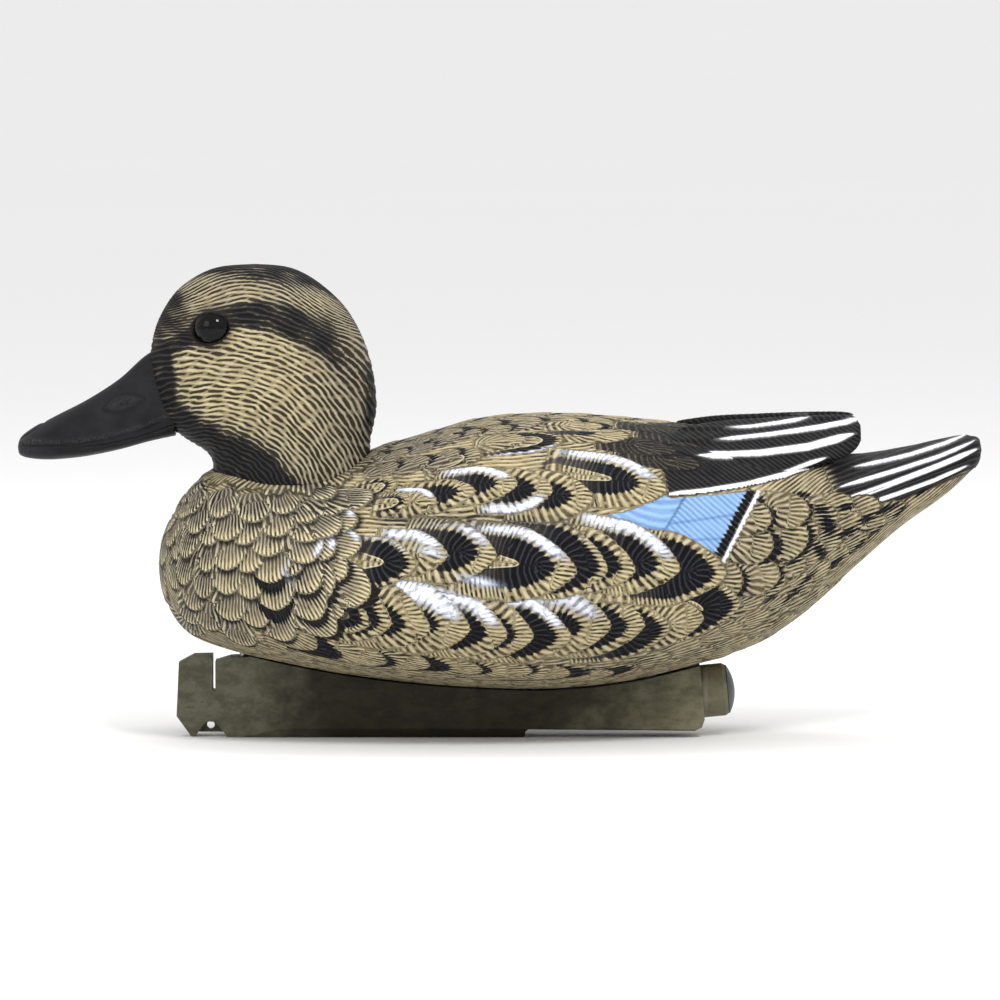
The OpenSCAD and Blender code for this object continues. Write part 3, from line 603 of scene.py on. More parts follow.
def make_body():
    """Half grid of the body with all its feathers, and the full piece made from it."""
    rings, columns = 520, 300
    t = even(BODY, 0.06, len(BODY) - 1.02, rings, [1, 0.4, 0, 0.6, 1, 0, 0])
    a = np.radians(np.linspace(90, 270, 1441))[None, :]
    x, zb, zc, zt, w, e_up, e_low = columns_of(BODY, t)
    e = np.where(np.sin(a) > 0, e_up, e_low)
    reach = np.where(np.sin(a) > 0, zt - zc, zc - zb)
    y, z, around = even_ring(w * power(np.cos(a), 2 / e), zc + reach * power(np.sin(a), 2 / e), columns + 1)
    points = grid(x, y, z)
    skin = Skin(points, spine(x, zc))
    f = skin.f
    x = skin.x
    # Long strokes along the belly, rump and back, before any feather
    belly = around[:, -1:] - around
    f.barb[:] = 2 * np.pi * belly / 2.7 + 0.8 * np.sin(x / 6) + 0.6 * np.sin(x / 2.7 + z / 5)
    f.run[:] = 2 * np.pi * x / 13
    # Painted grey-brown shade: darker towards the underside, over the rump and at the front of the breast
    f.dusk[:] = np.maximum(0.6 * smooth(52, 26, z), 0.45 * smooth(95, 150, x))
    at_least(f.dusk, 0.6 * smooth(-136, -146, x))
    lay_tail(skin)
    for k in range(19):
        for j in range(5):
            x0, y0 = 150 - 14 * k - 6 * (j % 2), 6 + 12.5 * j
            if y0 < 0.8 * np.interp(x0, [row[0] for row in BODY], [row[4] for row in BODY]):
                skin.feather(
                    skin.under(x0, -y0), rng.uniform(-9, 5), 10, 14, band=0, rise=0.35, dusk=0.3, root=0.3, shade=0.5,
                    splay=3.4, period=3.3, dash=9)
    for px, pz in RUMP_SMALL:
        skin.feather(
            skin.side(px, pz), rng.uniform(-8, 16), 7, 10, band=0, rise=0.45, dusk=0.25, root=0.3, shade=0.4,
            splay=3.0, period=2.2, dash=6)
    for px, pz, heading, length, width in SPOTS:
        skin.spot(skin.side(px, pz), heading, length, width)
    for row in RUMP:
        lay(skin, row, rise=0.8, dusk=0.2, root=0.35, shade=0.6, splay=2.0, thrown=True)
    on_wing = smooth(70, 74, x + 0.2 * (skin.h - 106)) * smooth(-1.6, -0.8, skin.h - line_z(WING_LINES[0][0], x))
    on_wing = on_wing * smooth(146, 142, x)
    lay_wing_lines(skin, on_wing, 0.8)
    lay_speculum(skin)
    for k in range(9):
        for y0, shift in ((-21, 6), (0, 0)):
            skin.feather(
                skin.top(92 - 17 * k - shift, y0), 0, 11.5, 15, edge=4.6, band=0, drop=4.0,
                rise=0.9, tone=0.75 if k == 0 else 0.0, dusk=0.08 * k, root=0.3, shade=0.6, splay=2.4)
    for row in LOWER:
        lay(skin, row, rise=0.8, dusk=0.25, shade=0.6, splay=2.4, thrown=True)
    for row in FLANK:
        lay(skin, row, rise=1.3, point=1.42, root=0.15, tone=-0.12)
    for row in COVERTS:
        lay(skin, row, rise=1.4, point=1.42, root=0.15, tone=-0.12)
    for row in BACK_SIDE:
        far = np.clip((20 - row[0]) / 60, 0, 0.7)
        lay(
            skin, row, rise=0.7, tone=0.85 if row[0] > 74 else 0.0, dusk=far, shade=0.6,
            thrown=row[3] < 8, root=0.3, splay=2.4)
    for row in SCAPULARS:
        lay(skin, row, rise=1.4, point=1.5, root=0.15, tone=-0.12)
    for y0, z0 in CHEST:
        skin.feather(
            skin.front(-y0, z0), -90, 8, 11, edge=4, band=0, rise=1.0, dusk=0.3, root=0.8, shade=1.0, period=1.9,
            splay=3.2, glint=0.7)
    for row in BREAST:
        gloom = 0.05 + 0.35 * np.clip((-118 - row[0]) / 20, 0, 1) + 0.35 * np.clip((row[1] - 86) / 14, 0, 1)
        lay(skin, row, rise=1.1, dusk=gloom, root=0.95, shade=1.0, period=1.9, splay=3.0, glint=0.8, thrown=True)
    for px, pz, heading, length, width, amount in GLOWS:
        skin.glow(skin.side(px, pz), heading, length, width, amount)
    # Painted grey-brown shade in the hollow between the back's rows and the flank's, which is also sunk
    valley = np.interp(x, [-75, -55, -20, 10, 35], [98, 96, 95, 94.5, 93.5])
    hollow = bell(skin.h - valley, 3.0) * smooth(-62, -40, x) * smooth(38, 30, x)
    hollow = hollow * (y < -30)
    at_least(f.dusk, 0.9 * hollow)
    f.frost[:] *= 1 - 0.8 * hollow
    f.rise[:] -= 0.9 * hollow
    # Collar: short strokes round the neck, with painted shade close to the neck and a painted shadow thrown past the
    # fringe
    r = np.hypot(x - NECK_X, y)
    turn = np.arctan2(y, x - NECK_X)
    fringe = 41.5 + 1.6 * np.sin(turn * 17) + 1.1 * np.sin(turn * 41 + 1)
    collar = smooth(0.8, -0.8, r - fringe) * (z > 90)
    blend(f.rise, 0.7 * smooth(RECESS_R, 41, r), collar)
    for name in ("band", "core"):
        blend(f[name], AWAY, collar)
    cast = smooth(2.6, 0.2, r - fringe) * (r > fringe - 0.4) * (z > 90)
    f.rim[:] = np.maximum(f.rim * (1 - collar), 0.8 * cast)
    at_least(f.dusk, 0.4 * collar)
    at_least(f.tone, 0.35 * collar * smooth(38, RECESS_R, r))
    swirl = turn * 100 + 1.2 * np.sin(turn * 13) + 0.25 * (r - 38)
    stroke(f, collar > 0.5, swirl, 2 * np.pi * r / 9)
    # Relief: barbs are cut into the feathers, and the surface stays inside the CAD solid
    groove = barb_relief(f)
    seat = smooth(22, 14, np.abs(y)) * smooth(60, 45, z) * smooth(-149, -140, x) * smooth(104, 96, x)
    lift = -1.75 + np.clip(f.rise, -1.2, 1.5) - groove
    lift = lift * (1 - seat) + (-0.45 - 0.3 * groove) * seat
    end = smooth(0, 6, np.minimum(x + 149, 210 - x))
    moved = points + skin.n * (lift * (0.25 + 0.75 * end))[:, :, None]
    # Round recess that takes the neck
    r = np.hypot(moved[:, :, 0] - NECK_X, moved[:, :, 1])
    above = moved[:, :, 2] > 90
    wanted = np.where(r > NECK_R - 0.35, RECESS_R + 0.02, np.where(r > NECK_R - 1.3, RECESS_R, r))
    scale = np.where(above & (r < RECESS_R + 0.38), wanted / np.maximum(r, 1e-6), 1.0)
    floor = above & (r <= NECK_R - 0.35)
    moved[:, :, 0] = NECK_X + (moved[:, :, 0] - NECK_X) * scale
    moved[:, :, 1] *= scale
    moved[:, :, 2] = np.where(floor, RECESS_Z, moved[:, :, 2])
    # The recess floor is charcoal: painted shade under the neck
    f.tone[floor] = 1.0
    piece = grid_piece("body_plumage", moved, f, BODY[0], BODY[-1])
    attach(piece, "hull")
    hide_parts("body_shell")
    return piece


def lay(skin, row, thrown=False, **more):
    """One feather from a table's row. A thrown band lies past the feather's tip instead of inside its edge."""
    px, pz, heading, half, tip, edge, band, frost = row
    if thrown:
        more["drop"], band = band, 0
    band *= 1.25
    half *= 1.04
    skin.feather(skin.side(px, pz), heading, half, tip, edge=edge, band=band, frost=frost, **more)


def barb_relief(f):
    """Depth of the barbs' grooves, mm."""
    phase = f.barb
    index = np.round(phase / (2 * np.pi))
    dash = np.cos(f.run + TOSS * np.sin(index * HASH))
    threshold = 0.35 + 0.5 * smooth(0.5, 0.95, dash)
    strength = np.where(f.blue > 0, 0.08, np.where(f.tone > 0.5, 0.1, 0.24))
    return strength * smooth(threshold - 0.6, threshold + 0.4, np.cos(phase))


def grid_piece(name, half, fields, first, last):
    """A closed piece from its left half: the right half mirrors it, and a point closes each end."""
    m = half.shape[1] - 1
    half[:, [0, m], 1] = 0
    mirror = half[:, m - 1 : 0 : -1].copy()
    mirror[:, :, 1] *= -1
    full = np.concatenate([half, mirror], axis=1)
    order = np.concatenate([np.arange(m + 1), np.arange(m - 1, 0, -1)])
    data = {key: value[:, order] for key, value in fields.items()}
    return closed_grid(name, full, data, [first[0], 0, first[2]], [last[0], 0, last[2]])


def closed_grid(name, full, data, first, last):
    """A mesh from rings of points closed round and ended by a point, with its fields and a clean UV map."""
    rings, around = full.shape[:2]
    verts = np.concatenate([full.reshape(-1, 3), [first], [last]]) * MM
    r, c = np.meshgrid(np.arange(rings - 1), np.arange(around), indexing="ij")
    n = (c + 1) % around
    here, beyond = r * around, (r + 1) * around
    quads = np.stack([here + c, here + n, beyond + n, beyond + c], axis=-1).reshape(-1, 4)
    k = np.arange(around)
    start, end = rings * around, rings * around + 1
    base = (rings - 1) * around
    caps = np.concatenate([
        np.stack([np.full(around, start), (k + 1) % around, k], axis=1),
        np.stack([np.full(around, end), base + k, base + (k + 1) % around], axis=1)])
    # UVs: along the piece, and round it in two halves
    half = around // 2

    def uv(u, v):
        return np.stack([u, v], -1)

    def v_of(column, face_column):
        side = face_column >= half
        return 0.005 + 0.5 * side + (column - np.where(side, half, 0)) / half * 0.49

    u0, u1 = 0.01 + 0.98 * r / (rings - 1), 0.01 + 0.98 * (r + 1) / (rings - 1)
    va, vb = v_of(c, c), v_of(c + 1, c)
    quad_uv = np.stack([uv(u0, va), uv(u0, vb), uv(u1, vb), uv(u1, va)], axis=2)
    ka, kb = v_of(k, k), v_of(k + 1, k)
    zero, one = np.full(around, 0.01), np.full(around, 0.99)
    cap_uv = np.concatenate([
        np.stack([uv(zero - 0.008, (ka + kb) / 2), uv(zero, kb), uv(zero, ka)], axis=1),
        np.stack([uv(one + 0.008, (ka + kb) / 2), uv(one, ka), uv(one, kb)], axis=1)])
    # Face order, so that normals point outwards
    tri = verts[quads[:, :3]]
    volume = np.einsum("ij,ij->i", tri[:, 0], np.cross(tri[:, 1], tri[:, 2])).sum()
    quad_uv = quad_uv.reshape(-1, 4, 2)
    if volume < 0:
        quads, caps, quad_uv, cap_uv = quads[:, ::-1], caps[:, ::-1], quad_uv[:, ::-1], cap_uv[:, ::-1]
    loops = np.concatenate([quads.ravel(), caps.ravel()]).astype(np.int32)
    sizes = np.concatenate([np.full(len(quads), 4), np.full(len(caps), 3)])
    starts = np.concatenate([[0], np.cumsum(sizes)[:-1]]).astype(np.int32)
    mesh = bpy.data.meshes.new(name)
    mesh.vertices.add(len(verts))
    mesh.vertices.foreach_set("co", verts.astype(np.float32).ravel())
    mesh.loops.add(len(loops))
    mesh.loops.foreach_set("vertex_index", loops)
    mesh.polygons.add(len(sizes))
    mesh.polygons.foreach_set("loop_start", starts)
    mesh.polygons.foreach_set("use_smooth", np.ones(len(sizes), bool))
    layer = mesh.uv_layers.new(name="OFBake")
    places = np.concatenate([quad_uv.reshape(-1, 2), cap_uv.reshape(-1, 2)])
    layer.uv.foreach_set("vector", places.astype(np.float32).ravel())
    for key, value in data.items():
        if key == "rise":  # already in the mesh's shape
            continue
        flat = np.concatenate([value.ravel(), [value[0].mean(), value[-1].mean()]]).astype(np.float32)
        mesh.attributes.new(key, "FLOAT", "POINT").data.foreach_set("value", flat)
    mesh.update(calc_edges=True)
    mesh.validate()
    piece = bpy.data.objects.new(name, mesh)
    bpy.context.scene.collection.objects.link(piece)
    return piece


def make_wing(side):
    """One folded wing tip: stacked primaries with white edges."""
    rings, around = 190, 130
    t = even(WING, 0.0, len(WING) - 1.001, rings, [1, 0, 0, 1, 1])
    a = ring_angles(around)
    x, cy, cz, breadth, thick = columns_of(WING, t)
    along = (breadth + 1.2) * power(np.cos(a), 0.85) + 1.0
    across = thick * power(np.sin(a), 0.9)
    y = cy + along * math.cos(WING_SLOPE) + across * math.sin(WING_SLOPE)
    z = cz - along * math.sin(WING_SLOPE) + across * math.cos(WING_SLOPE)
    points = grid(x, y, z)
    skin = Skin(points, grid(x, cy, cz))
    outer = smooth(-0.2, 0.2, np.broadcast_to(np.sin(a), y.shape))
    skin.f.tone[:] = 1.0
    lay_wing_lines(skin, np.ones_like(y), 1.1)
    skin.f.white[:] = np.where(outer > 0.5, skin.f.white, AWAY)
    lift = (skin.f.rise * outer - 0.9) - barb_relief(skin.f)
    lift = lift * smooth(0, 3, 156.6 - x)
    moved = points + skin.n * lift[:, :, None]
    moved[:, :, 1] *= side
    ends = [moved[0].mean(axis=0), moved[-1].mean(axis=0)]
    piece = closed_grid("wing_tip_left" if side < 0 else "wing_tip_right", moved, skin.f, *ends)
    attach(piece, "hull")
    return piece


def dome_height(r):
    """Height of the eye's dome over its seat, at a distance from its middle."""
    return np.sqrt(DOME_R**2 - np.minimum(r, EYE_R) ** 2) - math.sqrt(DOME_R**2 - EYE_R**2)


def make_head():
    """Head and neck with short curved strokes, eye sockets with lids, and the painted eye stripe."""
    rings, around = 330, 440
    t = even(HEAD, 0.04, len(HEAD) - 1.001, rings, [1, 0.4, 0, 0.4, 0.6])
    a = ring_angles(around)
    z, front, xw, back, w = columns_of(HEAD, t)
    x = xw + np.where(np.cos(a) > 0, back - xw, xw - front) * np.cos(a)
    y = w * np.sin(a)
    points = grid(x, y, z)
    skin = Skin(points, spine(xw, np.minimum(z, 175)))
    f = skin.f
    z = skin.z
    # Height unrolled down from the crown, so that strokes keep their spacing over it
    step = np.linalg.norm(np.diff(points, axis=0), axis=2)
    down = np.concatenate([np.zeros((1, around)), np.cumsum(step, axis=0)])
    crest, nape = 216, 118  # levels of the crown and of the neck's top
    level = crest - down * (crest - nape) / down[np.searchsorted(-z[:, 0], -nape)][None, :]
    level = np.where(z > nape, np.where(z > 150, level, z + (level - z) * smooth(nape, 150, z)), z)
    # Over the crown the strokes run from front to rear, at the level that they have on the widest line
    top = z[:, 0] > 150
    across = np.interp(np.abs(y), w[top, 0], level[top, around // 4])
    level = level + (across - level) * smooth(172, 200, z)
    rho = np.hypot(x + 130, level - 92)
    turn = np.arctan2(level - 92, x + 130)
    ripple = 1.3 * np.sin(turn * 9 + rho * 0.11) + 0.9 * np.sin(turn * 23 - rho * 0.27) + 0.6 * np.sin(turn * 41 + rho)
    f.barb[:] = 2 * np.pi * rho / 2.1 + ripple
    f.run[:] = 2 * np.pi * turn * np.maximum(rho, 30) / 7.5 + 0.9 * np.sin(rho * 0.5)
    # Dark crown, nape and stripe through the eye, and painted shade under the chin and down the throat
    seen = skin.h
    crown = 0.85 * smooth(194, 202, seen + 0.16 * (x + 106)) + 0.6 * smooth(11, 3, np.abs(y)) * (z > 150)
    rear = 0.8 * smooth(-63, -55, x) * smooth(112, 140, z)
    stripe_z = np.interp(x, [-153, -140, -125, -110, -94, -74, -62, -55], [166, 171, 180, 183.5, 181.5, 172, 158, 146])
    stripe_w = np.interp(x, [-153, -140, -125, -110, -94, -74, -60], [6, 6, 7, 7.5, 10, 12, 13])
    stripe = 0.9 * smooth(1.25, 0.45, np.abs(seen - stripe_z) / stripe_w) * smooth(-52, -78, x)
    base = smooth(-135, -143, x + 0.12 * (seen - 150)) * smooth(182, 168, seen)
    chin_z = np.interp(x, [-150, -142, -124, -108, -99, -86, -56], [156, 151, 138, 131, 125, 110, 101])
    chin_shade = smooth(6, -9, seen - chin_z)
    brow = 0.85 * smooth(-125, -140, x + 0.3 * (seen - 181)) * smooth(166, 176, seen)
    tone = np.maximum.reduce([crown, rear, stripe, base, chin_shade, brow])
    patchy = 0.12 * np.sin(x * 0.42 + 1.3 * np.sin(seen * 0.21)) * np.sin(seen * 0.37 + x * 0.11)
    f.tone[:] = np.clip(0.95 * tone + patchy + 0.22 * smooth(-118, -80, x) * smooth(165, 140, seen), -0.1, 1)
    # Grey-brown painted shade, more towards the neck's foot, on the crown, towards the back and where the ground is
    # dark
    gloom = np.maximum(0.6 * smooth(145, 118, z), 0.5 * smooth(180, 200, z))
    f.dusk[:] = np.clip(0.15 + np.maximum(gloom, 0.7 * smooth(-95, -62, x)) + 0.5 * tone, 0, 1)
    lift = -0.25 - 1.15 * barb_relief(Fields(f, tone=np.zeros_like(z), blue=np.full_like(z, AWAY)))
    neck = smooth(117, 121, z)
    lift = lift * (0.15 + 0.85 * neck)
    # The low part of the neck is charcoal: painted shade where it sits in the body's recess
    f.tone[z < 112] = 1.0
    moved = points + skin.n * lift[:, :, None]
    # Eye sockets: a round flat-bottomed seat with a raised lid round it
    for side in (-1, 1):
        c = np.array([EYE[0], side * EYE[1], EYE[2]])
        out = np.array([-math.sin(EYE_TURN), side * math.cos(EYE_TURN), 0.0])
        d = moved - c
        height = d @ out
        flat = d - height[:, :, None] * out
        r = np.linalg.norm(flat, axis=2)
        near = (height > -6) & (r < 14)
        # The lids close over the dome above and below, to an almond that rises to the rear
        rise = flat[:, :, 2]
        run = np.sqrt(np.maximum(r**2 - rise**2, 0)) * np.sign(flat[:, :, 0])
        slant = math.atan2(1.3, 8)
        u, v = run * math.cos(slant) + rise * math.sin(slant), rise * math.cos(slant) - run * math.sin(slant)
        opening = r / np.maximum(np.hypot(u / (EYE_R + 0.1), v / 6.5), 1e-6)
        cover = smooth(EYE_R + 2.4, EYE_R - 0.4, r)
        lid = np.maximum(height, dome_height(r) + 0.35) * cover + height * (1 - cover)
        edge = near & (r <= opening + 0.25) & (r > opening - 0.45)
        wall = near & (r <= opening - 0.45) & (r > opening - 1.0)
        seat = near & (r <= opening - 1.0)
        place = np.where(edge | wall, opening, r)
        dome_there = dome_height(place)
        high = np.where(seat, -0.15, np.where(wall, dome_there - 0.35, np.where(edge, dome_there + 0.3, lid)))
        target = c + flat * (place / np.maximum(r, 1e-6))[:, :, None] + high[:, :, None] * out
        moved = np.where((near & (r < EYE_R + 3.6))[:, :, None], target, moved)
        # Painted shade round the socket
        socket_shade = bell(r - EYE_R, 2.6) * near
        at_least(f.tone, smooth(1.7, 0.7, r - opening) * near)
        f.barb[:] = np.where(near & (r < opening + 0.5), np.pi, f.barb)
        at_least(f.rim, 0.7 * socket_shade)
    # The neck's foot is a ring, open above for the plug that closes it
    foot = []
    for radius, height in ((NECK_R - 0.5, NECK_FOOT), (32.05, NECK_FOOT), (32.05, 99.7), (16.0, 99.7)):
        ring = np.stack([NECK_X + radius * np.cos(a[0]), radius * np.sin(a[0]), np.full(around, height)], axis=1)
        foot.append(ring)
    full = np.concatenate([moved, np.array(foot)])
    data = {key: np.concatenate([value, np.repeat(value[-1:], len(foot), axis=0)]) for key, value in f.items()}
    # The neck's foot is charcoal too: painted shade inside the recess
    data["tone"][-1 - len(foot) :] = 1.0
    piece = closed_grid("head_plumage", full, data, [HEAD[0][1], 0, HEAD[0][0] - 0.25], [NECK_X, 0, 99.7])
    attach(piece, "head")
    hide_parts("head_shell")
    return piece


def make_bill():
    """Bill with the line of the mouth, lip, nostrils and nail."""
    rings, around = 240, 200
    t = even(BILL, 0.05, len(BILL) - 1.3, rings, [1, 1, 0, 1, 1])
    a = ring_angles(around)
    x, zb, zc, zt, w = columns_of(BILL, t)
    e = np.where(np.sin(a) > 0, 1.8, 2.6)
    y = w * power(np.cos(a), 2 / e)
    z = zc + np.where(np.sin(a) > 0, zt - zc, zc - zb) * power(np.sin(a), 2 / e)
    points = grid(x, y, z)
    skin = Skin(points, spine(x, zc))
    x = skin.x
    mouth = np.interp(x, [-209, -186, -171, -155.5, -147, -138], [127.4, 127.2, 129.6, 133.8, 137.4, 141])
    second = mouth - np.interp(x, [-186, -171, -147], [1.2, 2.1, 3.4])
    side = smooth(0.45, 0.8, np.abs(y) / np.maximum(w, 1))
    lift = -0.3 - 0.75 * bell(z - mouth, 0.55) * side
    lift = lift - 0.6 * bell(z - second, 0.5) * side * smooth(-190, -180, x)
    lift = lift + 0.25 * bell(z - mouth - 2.0, 1.3) * side
    # Nostril: a raised almond with a slit
    tilt = math.radians(14)
    u = (x + 163.8) * math.cos(tilt) + (z - 145.4) * math.sin(tilt)
    v = (z - 145.4) * math.cos(tilt) - (x + 163.8) * math.sin(tilt)
    almond = np.abs(v) / 4.0 + (u / 9.6) ** 2
    lift = lift + 0.75 * smooth(1.0, 0.55, almond) - 0.7 * bell(almond - 1.05, 0.14)
    lift = lift - 1.3 * smooth(1.0, 0.2, np.hypot(u / 4.6 - 0.15, v / 0.8))
    # Nail at the tip
    nail = np.hypot((x + 204.5) / 5.4, y / 4.4)
    lift = lift + np.where(z > mouth, 0.3 * smooth(1.0, 0.7, nail) - 0.3 * bell(nail - 1.1, 0.12), 0)
    moved = points + skin.n * (lift * smooth(0, 2.5, x + 210))[:, :, None]
    wear = smooth(0.9, 0.2, almond) * 0.4 + 0.5 * bell(z - mouth - 1.6, 1.2) * side
    data = {"wear": np.clip(wear + 0.5 * smooth(-198, -207, x), 0, 1)}
    ends = [np.array([BILL[0][0] + 0.02, 0, BILL[0][2]]), moved[-1].mean(axis=0)]
    piece = closed_grid("bill", moved, data, *ends)
    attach(piece, "head")
    return piece


# ---- Materials ----


class Value:
    """A node's output. Sums, differences and products of values make Math nodes."""

    def __init__(self, paint, socket):
        self.paint, self.socket = paint, socket

    def __add__(self, other):
        return self.paint.calc("ADD", self, other)

    def __sub__(self, other):
        return self.paint.calc("SUBTRACT", self, other)

    def __rsub__(self, other):
        return self.paint.calc("SUBTRACT", other, self)

    def __mul__(self, other):
        return self.paint.calc("MULTIPLY", self, other)


class Paint:
    """A node material, built up by short calls."""

    def __init__(self, name):
        self.material = bpy.data.materials.new(name)
        self.material.use_nodes = True
        self.tree = self.material.node_tree
        self.shader = self.tree.nodes["Principled BSDF"]
        self.place = Value(self, self.node("TexCoord").outputs["Object"])

    def node(self, kind, **settings):
        node = self.tree.nodes.new("ShaderNode" + kind)
        for name, value in settings.items():
            setattr(node, name, value)
        return node

    def feed(self, socket, value):
        if isinstance(value, Value):
            self.tree.links.new(value.socket, socket)
        elif isinstance(value, tuple) and len(value) < len(socket.default_value):
            socket.default_value = (*value, 1.0)
        else:
            socket.default_value = value

    def made(self, node, output, feeds):
        """Feeds a node's inputs and gives one of its outputs."""
        for key, value in feeds:
            self.feed(node.inputs[key], value)
        return Value(self, node.outputs[output])

    def field(self, name):
        return self.made(self.node("Attribute", attribute_name=name), "Fac", ())

    def axis(self, name):
        return self.made(self.node("SeparateXYZ"), name, [(0, self.place)])

    def calc(self, kind, *values):
        return self.made(self.node("Math", operation=kind), 0, enumerate(values))

    def smooth(self, low, high, value, to_low=0.0, to_high=1.0):
        """to_low up to the value low, to_high from high on, and an S curve between."""
        feeds = zip(("Value", "From Min", "From Max", "To Min", "To Max"), (value, low, high, to_low, to_high))
        return self.made(self.node("MapRange", interpolation_type="SMOOTHSTEP"), 0, feeds)

    def noise(self, size_mm, detail=2.0, roughness=0.55, stretch=None):
        place = self.place
        if stretch:
            place = self.made(self.node("Mapping"), 0, [("Vector", place), ("Scale", stretch)])
        feeds = [("Vector", place), ("Scale", 1000.0 / size_mm), ("Detail", detail), ("Roughness", roughness)]
        return self.made(self.node("TexNoise"), "Fac", feeds)

    def mix(self, factor, a, b):
        return self.made(self.node("Mix", data_type="RGBA"), 2, [("Factor", factor), (6, a), (7, b)])

    def bump(self, height, distance_mm, strength=1.0):
        feeds = [("Strength", strength), ("Distance", distance_mm * MM), ("Height", height)]
        self.feed(self.shader.inputs["Normal"], self.made(self.node("Bump"), 0, feeds))

    def finish(self, colour, roughness, **constants):
        self.feed(self.shader.inputs["Base Color"], colour)
        self.feed(self.shader.inputs["Roughness"], roughness)
        for name, value in constants.items():
            self.shader.inputs[name.replace("_", " ")].default_value = value
        return self.material


def plumage_material(name, duty=0.54, stagger=0.8, stroke=(0.105, 0.08, 0.047), spill=-0.4):
    """Dry-brushed feather paint: barbs, bands, highlights, lines and the blue patch, from the mesh's fields.
    duty raises the threshold that a barb's groove must pass, stagger is the gap between its dashes, spill widens
    it in dusky places, and stroke is the lighter of the two colours that lie in the grooves."""
    p = Paint(name)
    fine, mid, wide = p.noise(1.1, 3), p.noise(5.0, 2), p.noise(19.0, 3)
    grain = fine - 0.5
    phase = p.field("barb") + (mid - 0.5) * 2.4
    line = p.calc("COSINE", phase)
    index = p.calc("ROUND", p.calc("DIVIDE", phase, 2 * math.pi))
    dash = p.calc("COSINE", p.field("run") + p.calc("SINE", index * HASH) * TOSS)
    tone, dusk, rim, core, haze = (p.field(key) for key in ("tone", "dusk", "rim", "core", "haze"))
    # Grooves between the barbs hold dark paint, in strokes
    vary = p.calc("SINE", index * 7.1) * 0.33
    gap = p.smooth(0.4, 0.95, dash, duty, duty + stagger)
    threshold = gap + grain * 1.5 + tone * -1.5 + dusk * spill + vary
    groove = p.smooth(-0.28, 0.32, line - threshold)
    # Finer scratches run between them here and there
    hair = p.calc("COSINE", phase * 3.0 + dash * 1.4)
    scratch = p.smooth(0.5, 0.95, hair) * p.smooth(0.44, 0.58, mid)
    ridge = p.smooth(0.2, -0.9, line + grain)
    straw = p.mix(p.smooth(0.3, 0.7, mid), (0.56, 0.485, 0.295), (0.43, 0.37, 0.215))
    tan = p.mix(p.smooth(0.35, 0.7, wide), (0.31, 0.25, 0.135), (0.25, 0.205, 0.12))
    shadow = p.mix(ridge, (0.085, 0.076, 0.062), (0.30, 0.27, 0.205))
    umber = p.mix(p.smooth(0.40, 0.58, wide), stroke, (0.020, 0.016, 0.011))
    colour = p.mix(dusk * 0.9, p.mix(ridge, tan, straw), shadow)
    colour = p.mix(scratch * 0.5, colour, (0.12, 0.092, 0.055))
    # Cream dry-brushed on the ridges at feather tips, also a painted highlight there
    colour = p.mix(p.field("glint") * p.smooth(0.1, 0.7, ridge), colour, (0.66, 0.60, 0.41))
    colour = p.mix(groove * 0.94, colour, umber)
    # Charcoal ground, lighter on the ridges: dry-brushed grey and a painted sheen
    streak = p.smooth(0.25, 0.8, ridge * (fine + 0.3))
    charcoal = p.mix(streak, (0.006, 0.006, 0.007), (0.030, 0.029, 0.028))
    colour = p.mix(p.smooth(0.45, 0.95, tone + grain * 0.3), colour, charcoal)
    # Raised petals have a cream edge; black bands start there and feather out along the barbs
    cream = p.smooth(-0.15, 0.2, core) * p.smooth(1.2, 0.4, core) * p.smooth(0.5, 0.0, haze, 0.0, 0.6)
    colour = p.mix(cream, colour, (0.66, 0.59, 0.39))
    outer = p.smooth(-0.9, 0.7, p.field("band") + line * 0.75 + hair * 0.45 + grain * 2.6)
    band = outer * p.smooth(0.15, -0.25, core) * (1.0 - haze * 0.3)
    # The black is lighter on the ridges: dry-brushed grey and a painted sheen
    sheen = p.smooth(0.45, 0.8, ridge * (wide + 0.3))
    black = p.mix(sheen, (0.003, 0.003, 0.004), (0.024, 0.025, 0.032))
    colour = p.mix(band, colour, p.mix(haze * 0.75, black, (0.095, 0.088, 0.095)))
    # White highlights fade to blue-grey
    soft = p.field("frost") * (1.0 - groove * 0.3) + grain * 0.25
    frost = p.mix(p.smooth(0.35, 0.9, soft), (0.40, 0.44, 0.55), (0.76, 0.77, 0.82))
    colour = p.mix(p.smooth(0.1, 0.82, soft), colour, frost)
    # Painted shadow under feather tips, the white lines and the collar, and painted shade round the eyes and along the
    # blue patch's seams
    colour = p.mix(rim * 0.92, colour, (0.016, 0.013, 0.011))
    # Blue patch, darkened by the painted shadow too, and white lines
    sky = p.mix(ridge, (0.20, 0.345, 0.59), (0.28, 0.445, 0.70))
    sky = p.mix(rim * 0.7, p.mix(groove * 0.4, sky, (0.11, 0.22, 0.46)), (0.08, 0.17, 0.40))
    colour = p.mix(p.smooth(-0.1, 0.25, p.field("blue")) * (1.0 - band), colour, sky)
    edge = p.field("white") + grain * 0.5
    colour = p.mix(p.smooth(-0.9, 0.1, edge, 0.0, 0.22), colour, (0.42, 0.42, 0.44))
    colour = p.mix(p.smooth(-0.2, 0.35, edge), colour, (0.80, 0.81, 0.84))
    p.bump(fine * 0.3 - groove, 0.22, 0.8)
    return p.finish(colour, p.smooth(0.3, 0.7, mid, 0.5, 0.68), Specular_IOR_Level=0.1)


